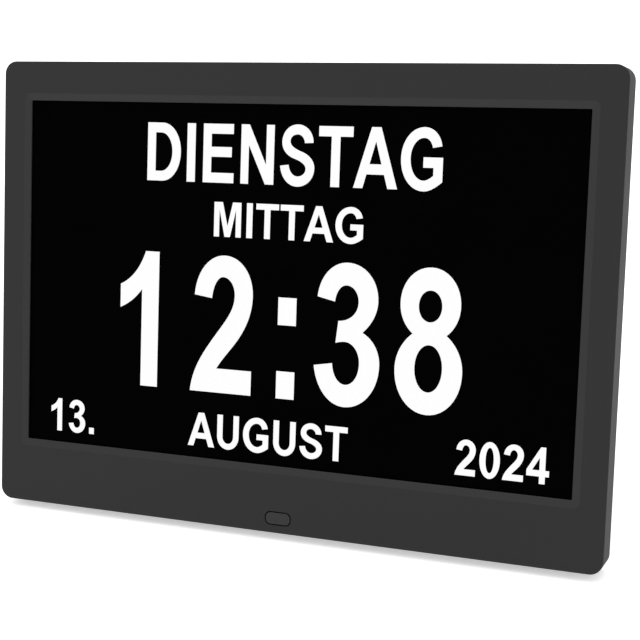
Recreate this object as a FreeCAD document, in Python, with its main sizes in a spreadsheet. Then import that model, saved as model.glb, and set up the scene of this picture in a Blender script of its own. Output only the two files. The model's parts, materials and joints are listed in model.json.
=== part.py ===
import FreeCAD, Part
import math
import os
import re
import Sketcher

# Desk day clock: a wide display in a moulded case that leans back on a folding stand.
# Case axes before the lean: x to the right, y from the front face to the back, z up from the bottom edge.

document = FreeCAD.newDocument("day_clock")
sheet = document.addObject("Spreadsheet::Sheet", "Sizes")

# Driving sizes in millimetres, angles in degrees
SIZES = {
    "lean_angle": 12,  # the case from the vertical
    "window_width": 221.6,  # opening in front of the display
    "window_height": 135.6,
    "side_band": 12.2,  # front border beside the opening
    "top_band": 15.2,
    "bottom_band": 25.6,
    "case_depth": 13.2,  # depth of the front moulding's side walls
    "case_corner": 5,
    "side_wall": 2,
    "front_thick": 2.2,
    "front_edge": 0.5,  # rounding along the front outline
    "lip_width": 2.8,  # sloping lip around the opening
    "lip_depth": 0.7,
    "lip_corner": 0.8,
    "window_corner": 0.4,
    "window_web": 1.3,  # front wall left in front of the display
    "pilot_radius": 1.05,
    "screw_radius": 1,
    "screw_head": 1.9,
    "head_high": 1.3,
    "screw_hole": 1.2,
    "cross_long": 2.2,  # drive recess
    "cross_wide": 0.5,
    "cross_deep": 0.7,
    "pill_width": 9.8,  # remote receiver's window
    "pill_height": 4.45,
    "pill_up": 5.7,
    "pill_corner": 1.8,
    "pill_groove": 0.4,
    "pill_flange": 1.4,
    "pill_flange_thick": 0.8,
    "receiver_side": 5,
    "receiver_deep": 2.2,
    "receiver_edge": 0.6,
    "receiver_board_width": 23,
    "receiver_board_low": 2.8,
    "receiver_board_high": 9,
    "thin_board": 1,
    "receiver_post_across": 9.3,
    "small_post": 1.9,
    "gasket_thick": 0.5,
    "gasket_step": 0.6,
    "panel_side": 3.95,  # display module beyond the opening
    "panel_end": 6.8,
    "glass_inset": 1.8,
    "guide_inset": 3.4,
    "panel_gap": 0.2,
    "glass_thick": 1.4,
    "film_thick": 0.3,
    "guide_thick": 2,
    "reflector_thick": 0.2,
    "tray_thick": 0.4,
    "tray_lap": 1.6,
    "strip_thick": 0.8,
    "lamp_width": 3,
    "lamp_high": 1.6,
    "lamp_pitch": 9,
    "lamp_count": 24,
    "clip_inset": 5.2,
    "clip_post": 2.2,
    "clip_spread": 100,
    "clip_width": 12,
    "clip_reach": 9,
    "clip_thick": 0.8,
    "panel_board_width": 196,
    "panel_board_high": 11,
    "panel_board_thick": 0.8,
    "driver_width": 14,
    "driver_high": 4,
    "driver_thick": 0.8,
    "driver_pitch": 44,
    "driver_count": 4,
    "cover_thick": 2,
    "cover_gap": 0.3,
    "cover_screw_side": 11,
    "cover_screw_mid": 38,
    "cover_screw_low": 9,
    "cover_screw_top": 5.4,
    "cover_post": 2.2,
    "cup_radius": 2.9,
    "cup_deep": 4,
    "cup_bore": 2.2,
    "head_sink": 2.2,
    "cover_screw_long": 6,
    "hump_width": 190,  # raised back that holds the electronics
    "hump_low": 18,
    "hump_high": 136,
    "hump_rise": 8.8,
    "hump_corner": 8,
    "hump_edge": 2.5,
    "rib": 1.6,
    "stand_angle": 22,  # leg from folded to open
    "hinge_up": 104,
    "barrel_radius": 3,
    "pin_radius": 1.25,
    "pin_fit": 0.05,
    "pin_press": 0.02,
    "stand_width": 50,
    "stand_tip": 38,
    "stand_shoulder": 24,
    "stand_taper": 60,
    "stand_thick": 3,
    "stand_sink": 0.3,
    "stand_gap": 0.4,
    "stand_heel": 8.3,
    "stop_gap": 0.3,
    "panel_relief": 1,
    "relief_margin": 6,
    "relief_corner": 3,
    "relief_top": 12,
    "relief_low": 22,
    "boot_wall": 1,
    "boot_high": 12,
    "boot_sole": 2.5,
    "foot_height": 0.8,
    "foot_across": 80,
    "foot_long": 30,
    "foot_back": 0.6,
    "foot_wide": 5,
    "keyhole_across": 50,
    "keyhole_up": 138,
    "keyhole_entry": 4.25,
    "keyhole_slot": 4.2,
    "keyhole_rise": 7,
    "keyhole_head": 4.6,
    "keyhole_corner": 2.3,
    "keyhole_deep": 1.8,
    "key_count": 6,
    "key_pitch": 15,
    "key_up": 124,
    "key_width": 9,
    "key_high": 5.6,
    "key_corner": 1.4,
    "key_gap": 0.3,
    "key_proud": 0.8,
    "key_edge": 0.3,
    "key_lap": 1,
    "key_lap_thick": 1,
    "key_board_width": 100,
    "key_board_high": 14.8,
    "key_board_thick": 1.2,
    "key_post_across": 46.6,
    "key_post": 2.1,
    "switch_side": 6,
    "switch_high": 3.1,
    "switch_deep": 2.2,
    "plunger_radius": 1.7,
    "plunger_fit": 0.3,
    "plunger_long": 2.6,
    "board_width": 54,
    "board_low": 32,
    "board_high": 80,
    "board_thick": 1.6,
    "board_gap": 2,
    "board_post": 2.6,
    "board_post_inset": 3.4,
    "board_tall": 6.2,  # room between the board and the back wall
    "socket_show": 0.4,
    "socket_gap": 0.3,
    "jack_up": 98,
    "jack_wide": 8,
    "jack_high": 6,
    "jack_long": 13,
    "jack_bore": 1.9,
    "jack_bore_deep": 9.5,
    "jack_pin": 0.65,
    "usb_up": 78,
    "usb_wide": 13.2,
    "usb_high": 5.7,
    "usb_long": 15,
    "usb_skin": 0.5,
    "usb_deep": 10,
    "usb_tongue": 1.8,
    "usb_tongue_wide": 10.6,
    "usb_tongue_long": 8.4,
    "card_up": 52,
    "card_wide": 28,
    "card_high": 3,
    "card_long": 16,
    "card_slot_wide": 24.6,
    "card_slot_high": 2.2,
    "card_slot_deep": 13,
    "chip_across": 55,
    "chip_up": 84,
    "chip_side": 14,
    "chip_thick": 1.4,
    "memory_up": 104,
    "memory_wide": 12,
    "memory_high": 8,
    "coil_across": 70,
    "coil_up": 97,
    "coil_side": 6,
    "coil_thick": 3,
    "capacitor_up": 68,
    "capacitor_radius": 2.5,
    "capacitor_long": 5,
    "capacitor_pitch": 7,
    "capacitor_count": 3,
    "battery_across": 57,
    "battery_up": 50,
    "battery_radius": 10,
    "battery_thick": 3.2,
    "holder_wall": 1.2,
    "holder_floor": 0.8,
    "holder_fit": 0.1,
    "speaker_inset": 32,
    "speaker_rise": 32,
    "speaker_radius": 14,
    "speaker_flange": 3,
    "speaker_skin": 0.6,
    "speaker_deep": 5.6,
    "speaker_pole": 2.5,
    "speaker_gasket": 0.4,
    "magnet_radius": 7,
    "magnet_thick": 2.4,
    "cone_dip": 2.2,
    "cone_thick": 0.3,
    "cone_gap": 0.8,
    "dome_radius": 4,
    "dome_rise": 0.7,
    "tab_wide": 6,
    "tab_long": 4,
    "grille_hole": 0.9,
    "grille_pitch": 3.2,
    "grille_radius": 10.6,  # holes lie within it
    "vent_count": 9,
    "vent_pitch": 5,
    "vent_wide": 1.8,
    "vent_long": 14,
    "vent_corner": 0.8,
    "vent_across": 62,
    "vent_up": 100,
    "label_wide": 50,
    "label_high": 28,
    "label_up": 56,
    "label_deep": 0.3,
    "label_thick": 0.2,
    "label_gap": 0.3,
    "wire_radius": 0.6,
    "wire_spread": 1.6,
    "wire_depth": 9.3,
    "ribbon_thick": 0.2,
    "ribbon_lap": 4.5,
    "display_ribbon_wide": 24,
    "display_ribbon_across": 62,
    "key_ribbon_wide": 6,
    "key_ribbon_across": 46.5,
}

# Sizes that follow from them, as expressions
CASE_WIDTH = "(window_width + 2 * side_band)"
CASE_HEIGHT = "(bottom_band + window_height + top_band)"
CASE_MIDDLE = f"({CASE_HEIGHT} / 2)"
WINDOW_UP = "(bottom_band + window_height / 2)"
PANEL_WIDTH = "(window_width + 2 * panel_side)"
PANEL_HEIGHT = "(window_height + 2 * panel_end)"
TRAY_WIDTH = f"({PANEL_WIDTH} + 2 * tray_thick)"
TRAY_HEIGHT = f"({PANEL_HEIGHT} + 2 * tray_thick)"
GLASS_FRONT = "(window_web + gasket_thick)"
GLASS_BACK = f"({GLASS_FRONT} + glass_thick)"
GUIDE_FRONT = f"({GLASS_BACK} + 2 * film_thick)"
GUIDE_BACK = f"({GUIDE_FRONT} + guide_thick)"
TRAY_FRONT = f"({GUIDE_BACK} + reflector_thick)"
TRAY_BACK = f"({TRAY_FRONT} + tray_thick)"
GUIDE_ROOM_WIDTH = f"({PANEL_WIDTH} - 2 * guide_inset)"
GUIDE_ROOM_LOW = f"({WINDOW_UP} - {PANEL_HEIGHT} / 2 + guide_inset)"
GUIDE_ROOM_TOP = f"({WINDOW_UP} + {PANEL_HEIGHT} / 2 - guide_inset)"
GUIDE_LOW = f"({GUIDE_ROOM_LOW} + strip_thick + lamp_high + panel_gap)"
PANEL_BOARD_LOW = f"({WINDOW_UP} - {PANEL_HEIGHT} / 2 + panel_gap)"
PANEL_BOARD_BACK = f"({TRAY_BACK} + panel_board_thick)"
CUP_FRONT = "(case_depth - cup_deep)"
COVER_FRONT = "(case_depth - cover_thick)"
HUMP_HALF = "(hump_width / 2)"
HUMP_MIDDLE = "(hump_low + hump_high / 2)"
HUMP_BACK = "(case_depth + hump_rise)"
HUMP_INSIDE = f"({HUMP_BACK} - cover_thick)"
HINGE_BACK = f"({HUMP_BACK} - stand_sink - barrel_radius)"
RECESS_HALF = "(stand_width / 2 + stand_gap)"
RECESS_FLOOR = f"({HINGE_BACK} + barrel_radius - stand_thick - stand_gap)"
HINGE_FLOOR = (f"({HINGE_BACK} - max(barrel_radius + stand_gap;"
               " stand_heel * sin(stand_angle) + (stand_thick - barrel_radius) * cos(stand_angle) + stop_gap))")
RECESS_TOP = "(hinge_up + sqrt(stand_heel * stand_heel + barrel_radius * barrel_radius) + stand_gap)"
RAISE = "(foot_height + case_depth * sin(lean_angle))"
LEG_TILT = "(stand_angle - lean_angle)"
HINGE_HEIGHT = f"({RAISE} + hinge_up * cos(lean_angle) - {HINGE_BACK} * sin(lean_angle))"
LEG_REACH = f"({HINGE_HEIGHT} / cos({LEG_TILT}))"
BOOT_BACK = "(barrel_radius + boot_wall)"
BOOT_FRONT = "(barrel_radius - stand_thick - boot_wall)"
HINGE_FROM_FRONT = f"({HINGE_BACK} * cos(lean_angle) + hinge_up * sin(lean_angle))"
OVERALL_DEPTH = f"({HINGE_FROM_FRONT} + {LEG_REACH} * sin({LEG_TILT}) + {BOOT_BACK} / cos({LEG_TILT}))"
FORWARD = f"(-{OVERALL_DEPTH} / 2)"
BOARD_BACK = f"({HUMP_INSIDE} - board_tall)"
BOARD_FRONT = f"({BOARD_BACK} - board_thick)"
BOARD_RIGHT = f"({HUMP_HALF} - cover_thick - board_gap)"
BOARD_LEFT = f"({BOARD_RIGHT} - board_width)"
SOCKET_FACE = f"({HUMP_HALF} - socket_show)"
KEY_BACK = f"({HUMP_BACK} + key_proud)"
KEY_LAP_FRONT = f"({HUMP_INSIDE} - key_lap_thick)"
SWITCH_BACK = f"({KEY_LAP_FRONT} - plunger_long + switch_deep / 2)"
KEY_BOARD_BACK = f"({SWITCH_BACK} - switch_high)"
KEY_BOARD_FRONT = f"({KEY_BOARD_BACK} - key_board_thick)"
SPEAKER_ACROSS = f"(speaker_inset - {HUMP_HALF})"
SPEAKER_UP = "(hump_low + speaker_rise)"
SPEAKER_BACK = f"({HUMP_INSIDE} - speaker_gasket)"
SPEAKER_FRONT = f"({SPEAKER_BACK} - speaker_deep)"
FLANGE_BACK = "(front_thick + pill_flange_thick)"
RECEIVER_BACK = f"({FLANGE_BACK} + receiver_deep)"
KEYHOLE_FLOOR = f"({HUMP_INSIDE} - keyhole_deep)"

NAME = re.compile(r"[a-z_]+")
TOUCH = 1e-4  # places nearer than this are the same
BEND_SHARE = 0.45  # of the shorter run, which a wire's arc takes
LEAST_CUT = 1e-6  # cubic millimetres
UPRIGHT = FreeCAD.Vector(0, 0, 1)
pieces = {}


def in_sheet(text):
    """Writes the sheet's name before each size in an expression."""
    return NAME.sub(lambda word: "Sizes." + word[0] if word[0] in SIZES else word[0], text)


def number(text):
    """What an expression of sizes comes to."""
    value = sheet.evalExpression(in_sheet(text))
    return float(getattr(value, "Value", value))


def bind(thing, attribute, text):
    thing.setExpression(attribute, in_sheet(text))


def fill_sheet():
    for row, (name, value) in enumerate(SIZES.items(), start=1):
        sheet.set(f"A{row}", name)
        sheet.set(f"B{row}", str(value))
        sheet.setAlias(f"B{row}", name)
    document.recompute()


def set_in_case(thing):
    """Leans a piece back with the case and stands it on its feet."""
    lean = FreeCAD.Rotation(FreeCAD.Vector(-1, 0, 0), number("lean_angle"))
    thing.Placement = FreeCAD.Placement(FreeCAD.Vector(), lean)
    bind(thing, "Placement.Rotation.Angle", "lean_angle")
    bind(thing, "Placement.Base.y", FORWARD)
    bind(thing, "Placement.Base.z", RAISE)


def set_on_hinge(thing):
    """Puts a piece drawn about the hinge axis on the open stand."""
    tilt = FreeCAD.Rotation(FreeCAD.Vector(1, 0, 0), number(LEG_TILT))
    thing.Placement = FreeCAD.Placement(FreeCAD.Vector(), tilt)
    bind(thing, "Placement.Rotation.Angle", LEG_TILT)
    bind(thing, "Placement.Base.y", f"{HINGE_FROM_FRONT} + {FORWARD}")
    bind(thing, "Placement.Base.z", HINGE_HEIGHT)


def new_body(label, place=set_in_case):
    body = document.addObject("PartDesign::Body", label)
    place(body)
    pieces[label] = body
    return body


def sketch_on(body, name, plane, offset):
    """An empty sketch: XZ sketches lie at a depth behind the front, YZ ones at a place across."""
    sketch = body.newObject("Sketcher::SketchObject", name)
    support = next(item for item in body.Origin.OriginFeatures if item.Role == plane)
    sketch.AttachmentSupport = [(support, "")]
    sketch.MapMode = "FlatFace"
    sign = "-" if plane == "XZ_Plane" else ""
    bind(sketch, "AttachmentOffset.Base.z", f"{sign}({offset})")
    return sketch


def dimension(sketch, kind, places, text):
    index = sketch.addConstraint(Sketcher.Constraint(kind, *places, number(text)))
    bind(sketch, f"Constraints[{index}]", text)


def place_point(sketch, geometry, vertex, across, up):
    dimension(sketch, "DistanceX", (-1, 1, geometry, vertex), across)
    dimension(sketch, "DistanceY", (-1, 1, geometry, vertex), up)


def circle(sketch, across, up, radius):
    middle = FreeCAD.Vector(number(across), number(up), 0)
    index = sketch.addGeometry(Part.Circle(middle, UPRIGHT, number(radius)), False)
    place_point(sketch, index, 3, across, up)
    dimension(sketch, "Radius", (index,), radius)


def polygon(sketch, corners):
    """Straight sides round a list of corners, each placed by its two sizes."""
    points = [FreeCAD.Vector(number(across), number(up), 0) for across, up in corners]
    first = sketch.GeometryCount
    for start, end in zip(points, points[1:] + points[:1]):
        sketch.addGeometry(Part.LineSegment(start, end), False)
    for step in range(len(points)):
        following = first + (step + 1) % len(points)
        sketch.addConstraint(Sketcher.Constraint("Coincident", first + step, 2, following, 1))
    for step, (across, up) in enumerate(corners):
        place_point(sketch, first + step, 1, across, up)


def box(sketch, left, low, right, top):
    polygon(sketch, [(left, low), (right, low), (right, top), (left, top)])


def middle_box(sketch, across, up, width, height):
    box(sketch, f"{across} - ({width}) / 2", f"{up} - ({height}) / 2",
        f"{across} + ({width}) / 2", f"{up} + ({height}) / 2")


def round_box(sketch, across, up, width, height, corner):
    """A box whose corners are tangent arcs of one radius."""
    left, right = f"{across} - ({width}) / 2", f"{across} + ({width}) / 2"
    low, top = f"{up} - ({height}) / 2", f"{up} + ({height}) / 2"
    x0, x1, z0, z1, radius = (number(text) for text in (left, right, low, top, corner))
    first = sketch.GeometryCount
    sides = [((x0 + radius, z0), (x1 - radius, z0)), ((x1, z0 + radius), (x1, z1 - radius)),
             ((x1 - radius, z1), (x0 + radius, z1)), ((x0, z1 - radius), (x0, z0 + radius))]
    for start, end in sides:
        sketch.addGeometry(Part.LineSegment(FreeCAD.Vector(*start, 0), FreeCAD.Vector(*end, 0)), False)
    middles = [(x1 - radius, z0 + radius), (x1 - radius, z1 - radius),
               (x0 + radius, z1 - radius), (x0 + radius, z0 + radius)]
    for turn, middle in enumerate(middles):
        whole = Part.Circle(FreeCAD.Vector(*middle, 0), UPRIGHT, radius)
        start = (turn - 1) * math.pi / 2
        sketch.addGeometry(Part.ArcOfCircle(whole, start, start + math.pi / 2), False)
    for side in range(4):
        arc = first + 4 + side
        sketch.addConstraint(Sketcher.Constraint("Tangent", first + side, 2, arc, 1))
        sketch.addConstraint(Sketcher.Constraint("Tangent", arc, 2, first + (side + 1) % 4, 1))
        sketch.addConstraint(Sketcher.Constraint("Vertical" if side % 2 else "Horizontal", first + side))
    for arc in range(first + 5, first + 8):
        sketch.addConstraint(Sketcher.Constraint("Equal", first + 4, arc))
    dimension(sketch, "Radius", (first + 4,), corner)
    dimension(sketch, "DistanceX", (-1, 1, first + 3, 1), left)
    dimension(sketch, "DistanceX", (-1, 1, first + 1, 1), right)
    dimension(sketch, "DistanceY", (-1, 1, first, 1), low)
    dimension(sketch, "DistanceY", (-1, 1, first + 2, 1), top)


def add(body, name, near, far, draw):
    """Material between two depths behind the front face."""
    sketch = sketch_on(body, name + "_outline", "XZ_Plane", near)
    draw(sketch)
    feature = body.newObject("PartDesign::Pad", name)
    feature.Profile = sketch
    feature.Reversed = True
    bind(feature, "Length", f"({far}) - ({near})")
    return feature


def cut(body, name, near, far, draw):
    """A pocket between two depths behind the front face."""
    sketch = sketch_on(body, name + "_outline", "XZ_Plane", near)
    draw(sketch)
    feature = body.newObject("PartDesign::Pocket", name)
    feature.Profile = sketch
    bind(feature, "Length", f"({far}) - ({near})")
    return feature


def add_across(body, name, left, right, draw):
    """Material between two places across, from an outline seen from the side."""
    sketch = sketch_on(body, name + "_outline", "YZ_Plane", left)
    draw(sketch)
    feature = body.newObject("PartDesign::Pad", name)
    feature.Profile = sketch
    bind(feature, "Length", f"({right}) - ({left})")
    return feature


def cut_across(body, name, left, right, draw):
    """A pocket between two places across, from an outline seen from the side."""
    sketch = sketch_on(body, name + "_outline", "YZ_Plane", right)
    draw(sketch)
    feature = body.newObject("PartDesign::Pocket", name)
    feature.Profile = sketch
    bind(feature, "Length", f"({right}) - ({left})")
    return feature


def round_edges(body, name, radius, chosen):
    """Rounds the edges of the newest feature that a test picks."""
    document.recompute()
    base = body.Tip
    edges = [f"Edge{number + 1}" for number, edge in enumerate(base.Shape.Edges) if chosen(edge)]
    feature = body.newObject("PartDesign::Fillet", name)
    feature.Base = (base, edges)
    bind(feature, "Radius", radius)
    return feature


def at_depth(depth):
    """A test for edges that lie wholly at one depth."""
    level = number(depth)

    def chosen(edge):
        bounds = edge.BoundBox
        return abs(bounds.YMin - level) < TOUCH and abs(bounds.YMax - level) < TOUCH

    return chosen


def turned(body, name, across, up, profile):
    """A piece turned about an axis that runs front to back; the profile gives radius and depth."""
    sketch = sketch_on(body, name + "_profile", "XY_Plane", up)
    bind(sketch, "AttachmentOffset.Base.x", across)
    polygon(sketch, profile)
    feature = body.newObject("PartDesign::Revolution", name)
    feature.Profile = sketch
    feature.ReferenceAxis = (sketch, ["V_Axis"])
    feature.Angle = 360
    return feature


def sides(text):
    """A place and its mirror image across the middle."""
    return [f"({text})", f"(-({text}))"]


def cover_screw_places():
    across = sides(f"{CASE_WIDTH} / 2 - cover_screw_side") + sides("cover_screw_mid")
    return [(x, up) for x in across for up in ("cover_screw_low", f"({CASE_HEIGHT} - cover_screw_top)")]


def clip_places():
    across = sides(f"{CASE_WIDTH} / 2 - clip_inset")
    return [(x, f"({WINDOW_UP} {sign} clip_spread / 2)") for x in across for sign in "+-"]


def clip_plate_places():
    across = sides(f"{CASE_WIDTH} / 2 - clip_inset - (clip_reach - clip_post) / 2")
    return [(x, f"({WINDOW_UP} {sign} clip_spread / 2)") for x in across for sign in "+-"]


def receiver_post_places():
    return [(x, "pill_up") for x in sides("receiver_post_across")]


def key_post_places():
    return [(x, "key_up") for x in sides("key_post_across")]


def board_post_places():
    across = [f"({BOARD_LEFT} + board_post_inset)", f"({BOARD_RIGHT} - board_post_inset)"]
    ups = ["(board_low + board_post_inset)", "(board_low + board_high - board_post_inset)"]
    return [(x, up) for x in across for up in ups]


def key_places():
    middle = (SIZES["key_count"] - 1) / 2
    return [f"({index - middle} * key_pitch)" for index in range(SIZES["key_count"])]


def circles(places, radius):
    """Draws one circle at each place."""
    def draw(sketch):
        for across, up in places:
            circle(sketch, across, up, radius)

    return draw


def screws(label, places, seat, head_towards_back, shank):
    """Identical screws: round heads with a cross recess, and shanks that run forward or back."""
    body = new_body(label)
    if head_towards_back:
        head = (seat, f"{seat} + head_high")
        run = (f"{seat} - {shank}", seat)
        recess = (f"{seat} + head_high - cross_deep", f"{seat} + head_high")
    else:
        head = (f"{seat} - head_high", seat)
        run = (seat, f"{seat} + {shank}")
        recess = (f"{seat} - head_high", f"{seat} - head_high + cross_deep")
    add(body, label + "_head", *head, circles(places, "screw_head"))
    add(body, label + "_shank", *run, circles(places, "screw_radius"))
    cross = [("cross_long", "cross_wide"), ("cross_wide", "cross_long")]
    for turn, (width, height) in enumerate(cross):
        cut(body, f"{label}_slot_{turn}", *recess, lambda sketch, width=width, height=height: [
            middle_box(sketch, across, up, width, height) for across, up in places])


def plate(label, near, far, *outline):
    """A piece that is one flat box: centre across, centre up, width and height."""
    body = new_body(label)
    add(body, label + "_plate", near, far, lambda sketch: middle_box(sketch, *outline))
    return body


def make_front_frame():
    body = new_body("front_frame")
    add(body, "front_block", "0", "case_depth", lambda sketch: round_box(
        sketch, "0", CASE_MIDDLE, CASE_WIDTH, CASE_HEIGHT, "case_corner"))
    round_edges(body, "front_rounding", "front_edge", at_depth("0"))
    cut(body, "front_cavity", "front_thick", "case_depth", lambda sketch: round_box(
        sketch, "0", CASE_MIDDLE, f"{CASE_WIDTH} - 2 * side_wall", f"{CASE_HEIGHT} - 2 * side_wall",
        "case_corner - side_wall"))
    cut(body, "display_seat", "window_web", "front_thick", lambda sketch: middle_box(
        sketch, "0", WINDOW_UP, f"{TRAY_WIDTH} + 2 * panel_gap", f"{TRAY_HEIGHT} + 2 * panel_gap"))
    cut(body, "window", "0", "window_web", lambda sketch: round_box(
        sketch, "0", WINDOW_UP, "window_width", "window_height", "window_corner"))
    outer = sketch_on(body, "lip_outer", "XZ_Plane", "0")
    round_box(outer, "0", WINDOW_UP, "window_width + 2 * lip_width", "window_height + 2 * lip_width",
              "lip_corner")
    inner = sketch_on(body, "lip_inner", "XZ_Plane", "lip_depth")
    round_box(inner, "0", WINDOW_UP, "window_width", "window_height", "window_corner")
    lip = body.newObject("PartDesign::SubtractiveLoft", "window_lip")
    lip.Profile = outer
    lip.Sections = [inner]
    lip.Ruled = True
    cut(body, "pill_hole", "0", "front_thick", lambda sketch: round_box(
        sketch, "0", "pill_up", "pill_width + 2 * pill_groove", "pill_height + 2 * pill_groove",
        "pill_corner + pill_groove"))
    add(body, "cover_posts", "front_thick", CUP_FRONT, circles(cover_screw_places(), "cover_post"))
    add(body, "clip_posts", "front_thick", TRAY_BACK, circles(clip_places(), "clip_post"))
    add(body, "receiver_posts", "front_thick", RECEIVER_BACK, circles(receiver_post_places(), "small_post"))
    cut(body, "cover_pilots", "front_thick", CUP_FRONT, circles(cover_screw_places(), "pilot_radius"))
    cut(body, "clip_pilots", "front_thick", TRAY_BACK, circles(clip_places(), "pilot_radius"))
    cut(body, "receiver_pilots", "front_thick", RECEIVER_BACK,
        circles(receiver_post_places(), "pilot_radius"))


def make_receiver():
    body = new_body("ir_window")
    add(body, "lens", "0", FLANGE_BACK, lambda sketch: round_box(
        sketch, "0", "pill_up", "pill_width", "pill_height", "pill_corner"))
    add(body, "lens_flange", "front_thick", FLANGE_BACK, lambda sketch: round_box(
        sketch, "0", "pill_up", "pill_width + 2 * pill_flange", "pill_height + 2 * pill_flange",
        "pill_corner"))
    body = new_body("ir_receiver")
    add(body, "receiver_case", f"{FLANGE_BACK} + stop_gap", RECEIVER_BACK, lambda sketch: middle_box(
        sketch, "0", "pill_up", "receiver_side", "receiver_side"))
    round_edges(body, "receiver_front", "receiver_edge", at_depth(f"{FLANGE_BACK} + stop_gap"))
    body = plate("ir_board", RECEIVER_BACK, f"{RECEIVER_BACK} + thin_board", "0",
                 "(receiver_board_low + receiver_board_high / 2)", "receiver_board_width",
                 "receiver_board_high")
    cut(body, "ir_board_holes", RECEIVER_BACK, f"{RECEIVER_BACK} + thin_board",
        circles(receiver_post_places(), "screw_hole"))
    screws("ir_board_screws", receiver_post_places(), f"({RECEIVER_BACK} + thin_board)", True,
           "receiver_deep")


def make_display():
    body = new_body("display_gasket")
    add(body, "gasket_sheet", "window_web", GLASS_FRONT, lambda sketch: middle_box(
        sketch, "0", WINDOW_UP, PANEL_WIDTH, PANEL_HEIGHT))
    cut(body, "gasket_opening", "window_web", GLASS_FRONT, lambda sketch: middle_box(
        sketch, "0", WINDOW_UP, "window_width + 2 * gasket_step", "window_height + 2 * gasket_step"))
    body = new_body("display_frame")
    add(body, "frame_block", GLASS_FRONT, TRAY_FRONT, lambda sketch: middle_box(
        sketch, "0", WINDOW_UP, PANEL_WIDTH, PANEL_HEIGHT))
    cut(body, "glass_seat", GLASS_FRONT, GLASS_BACK, lambda sketch: middle_box(
        sketch, "0", WINDOW_UP, f"{PANEL_WIDTH} - 2 * glass_inset + 2 * panel_gap",
        f"{PANEL_HEIGHT} - 2 * glass_inset + 2 * panel_gap"))
    cut(body, "guide_room", GLASS_BACK, TRAY_FRONT, lambda sketch: middle_box(
        sketch, "0", WINDOW_UP, GUIDE_ROOM_WIDTH, f"{PANEL_HEIGHT} - 2 * guide_inset"))
    plate("display_glass", GLASS_FRONT, GLASS_BACK, "0", WINDOW_UP,
          f"{PANEL_WIDTH} - 2 * glass_inset", f"{PANEL_HEIGHT} - 2 * glass_inset")
    film = ("0", f"(({GUIDE_LOW} + {GUIDE_ROOM_TOP} - panel_gap) / 2)",
            f"{GUIDE_ROOM_WIDTH} - 2 * panel_gap", f"{GUIDE_ROOM_TOP} - panel_gap - {GUIDE_LOW}")
    plate("prism_sheet", GLASS_BACK, f"{GLASS_BACK} + film_thick", *film)
    plate("diffuser_sheet", f"{GLASS_BACK} + film_thick", GUIDE_FRONT, *film)
    plate("light_guide", GUIDE_FRONT, GUIDE_BACK, *film)
    plate("reflector_sheet", GUIDE_BACK, TRAY_FRONT, *film)
    make_backlight_strip()
    body = new_body("display_tray")
    add(body, "tray_pan", f"{TRAY_FRONT} - tray_lap", TRAY_BACK, lambda sketch: middle_box(
        sketch, "0", WINDOW_UP, TRAY_WIDTH, TRAY_HEIGHT))
    cut(body, "tray_inside", f"{TRAY_FRONT} - tray_lap", TRAY_FRONT, lambda sketch: middle_box(
        sketch, "0", WINDOW_UP, PANEL_WIDTH, PANEL_HEIGHT))
    body = new_body("display_clips")
    add(body, "clip_plates", TRAY_BACK, f"{TRAY_BACK} + clip_thick", lambda sketch: [
        middle_box(sketch, across, up, "clip_reach + clip_post", "clip_width")
        for across, up in clip_plate_places()])
    cut(body, "clip_holes", TRAY_BACK, f"{TRAY_BACK} + clip_thick", circles(clip_places(), "screw_hole"))
    screws("display_screws", clip_places(), f"({TRAY_BACK} + clip_thick)", True,
           f"(clip_thick + {TRAY_BACK} - front_thick - stop_gap)")
    body = plate("display_board", TRAY_BACK, PANEL_BOARD_BACK, "0",
                 f"({PANEL_BOARD_LOW} + panel_board_high / 2)", "panel_board_width", "panel_board_high")
    middle = (SIZES["driver_count"] - 1) / 2
    add(body, "driver_chips", PANEL_BOARD_BACK, f"{PANEL_BOARD_BACK} + driver_thick", lambda sketch: [
        middle_box(sketch, f"({index - middle} * driver_pitch)", f"({PANEL_BOARD_LOW} + driver_high)",
                   "driver_width", "driver_high") for index in range(SIZES["driver_count"])])


def make_backlight_strip():
    body = new_body("backlight_strip")
    add(body, "strip_board", GUIDE_FRONT, GUIDE_BACK, lambda sketch: middle_box(
        sketch, "0", f"({GUIDE_ROOM_LOW} + strip_thick / 2)", f"{GUIDE_ROOM_WIDTH} - 2 * panel_gap",
        "strip_thick"))
    lamp_base = f"({GUIDE_ROOM_LOW} + strip_thick)"
    lamp_start = "(-(lamp_count - 1) * lamp_pitch / 2)"
    lamp = add(body, "lamp", GUIDE_FRONT, GUIDE_BACK, lambda sketch: box(
        sketch, f"{lamp_start} - lamp_width / 2", lamp_base,
        f"{lamp_start} + lamp_width / 2", f"{lamp_base} + lamp_high"))
    document.recompute()
    row = body.newObject("PartDesign::LinearPattern", "lamp_row")
    row.Originals = [lamp]
    row.Direction = (lamp.Profile[0], ["H_Axis"])
    bind(row, "Length", "(lamp_count - 1) * lamp_pitch")
    bind(row, "Occurrences", "lamp_count")
    body.Tip = row


def make_rear_cover():
    body = new_body("rear_cover")
    add(body, "cover_plate", COVER_FRONT, "case_depth", lambda sketch: round_box(
        sketch, "0", CASE_MIDDLE, f"{CASE_WIDTH} - 2 * side_wall - 2 * cover_gap",
        f"{CASE_HEIGHT} - 2 * side_wall - 2 * cover_gap", "case_corner - side_wall - cover_gap"))
    add(body, "hump", COVER_FRONT, HUMP_BACK, lambda sketch: round_box(
        sketch, "0", HUMP_MIDDLE, "hump_width", "hump_high", "hump_corner"))
    round_edges(body, "hump_rounding", "hump_edge", at_depth(HUMP_BACK))
    cut(body, "hump_room", COVER_FRONT, HUMP_INSIDE, lambda sketch: round_box(
        sketch, "0", HUMP_MIDDLE, "hump_width - 2 * cover_thick", "hump_high - 2 * cover_thick",
        "hump_corner - cover_thick"))
    add_cover_inside(body)
    cut_stand_recess(body)
    cut_keyholes(body)
    cut_cover_openings(body)


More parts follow.
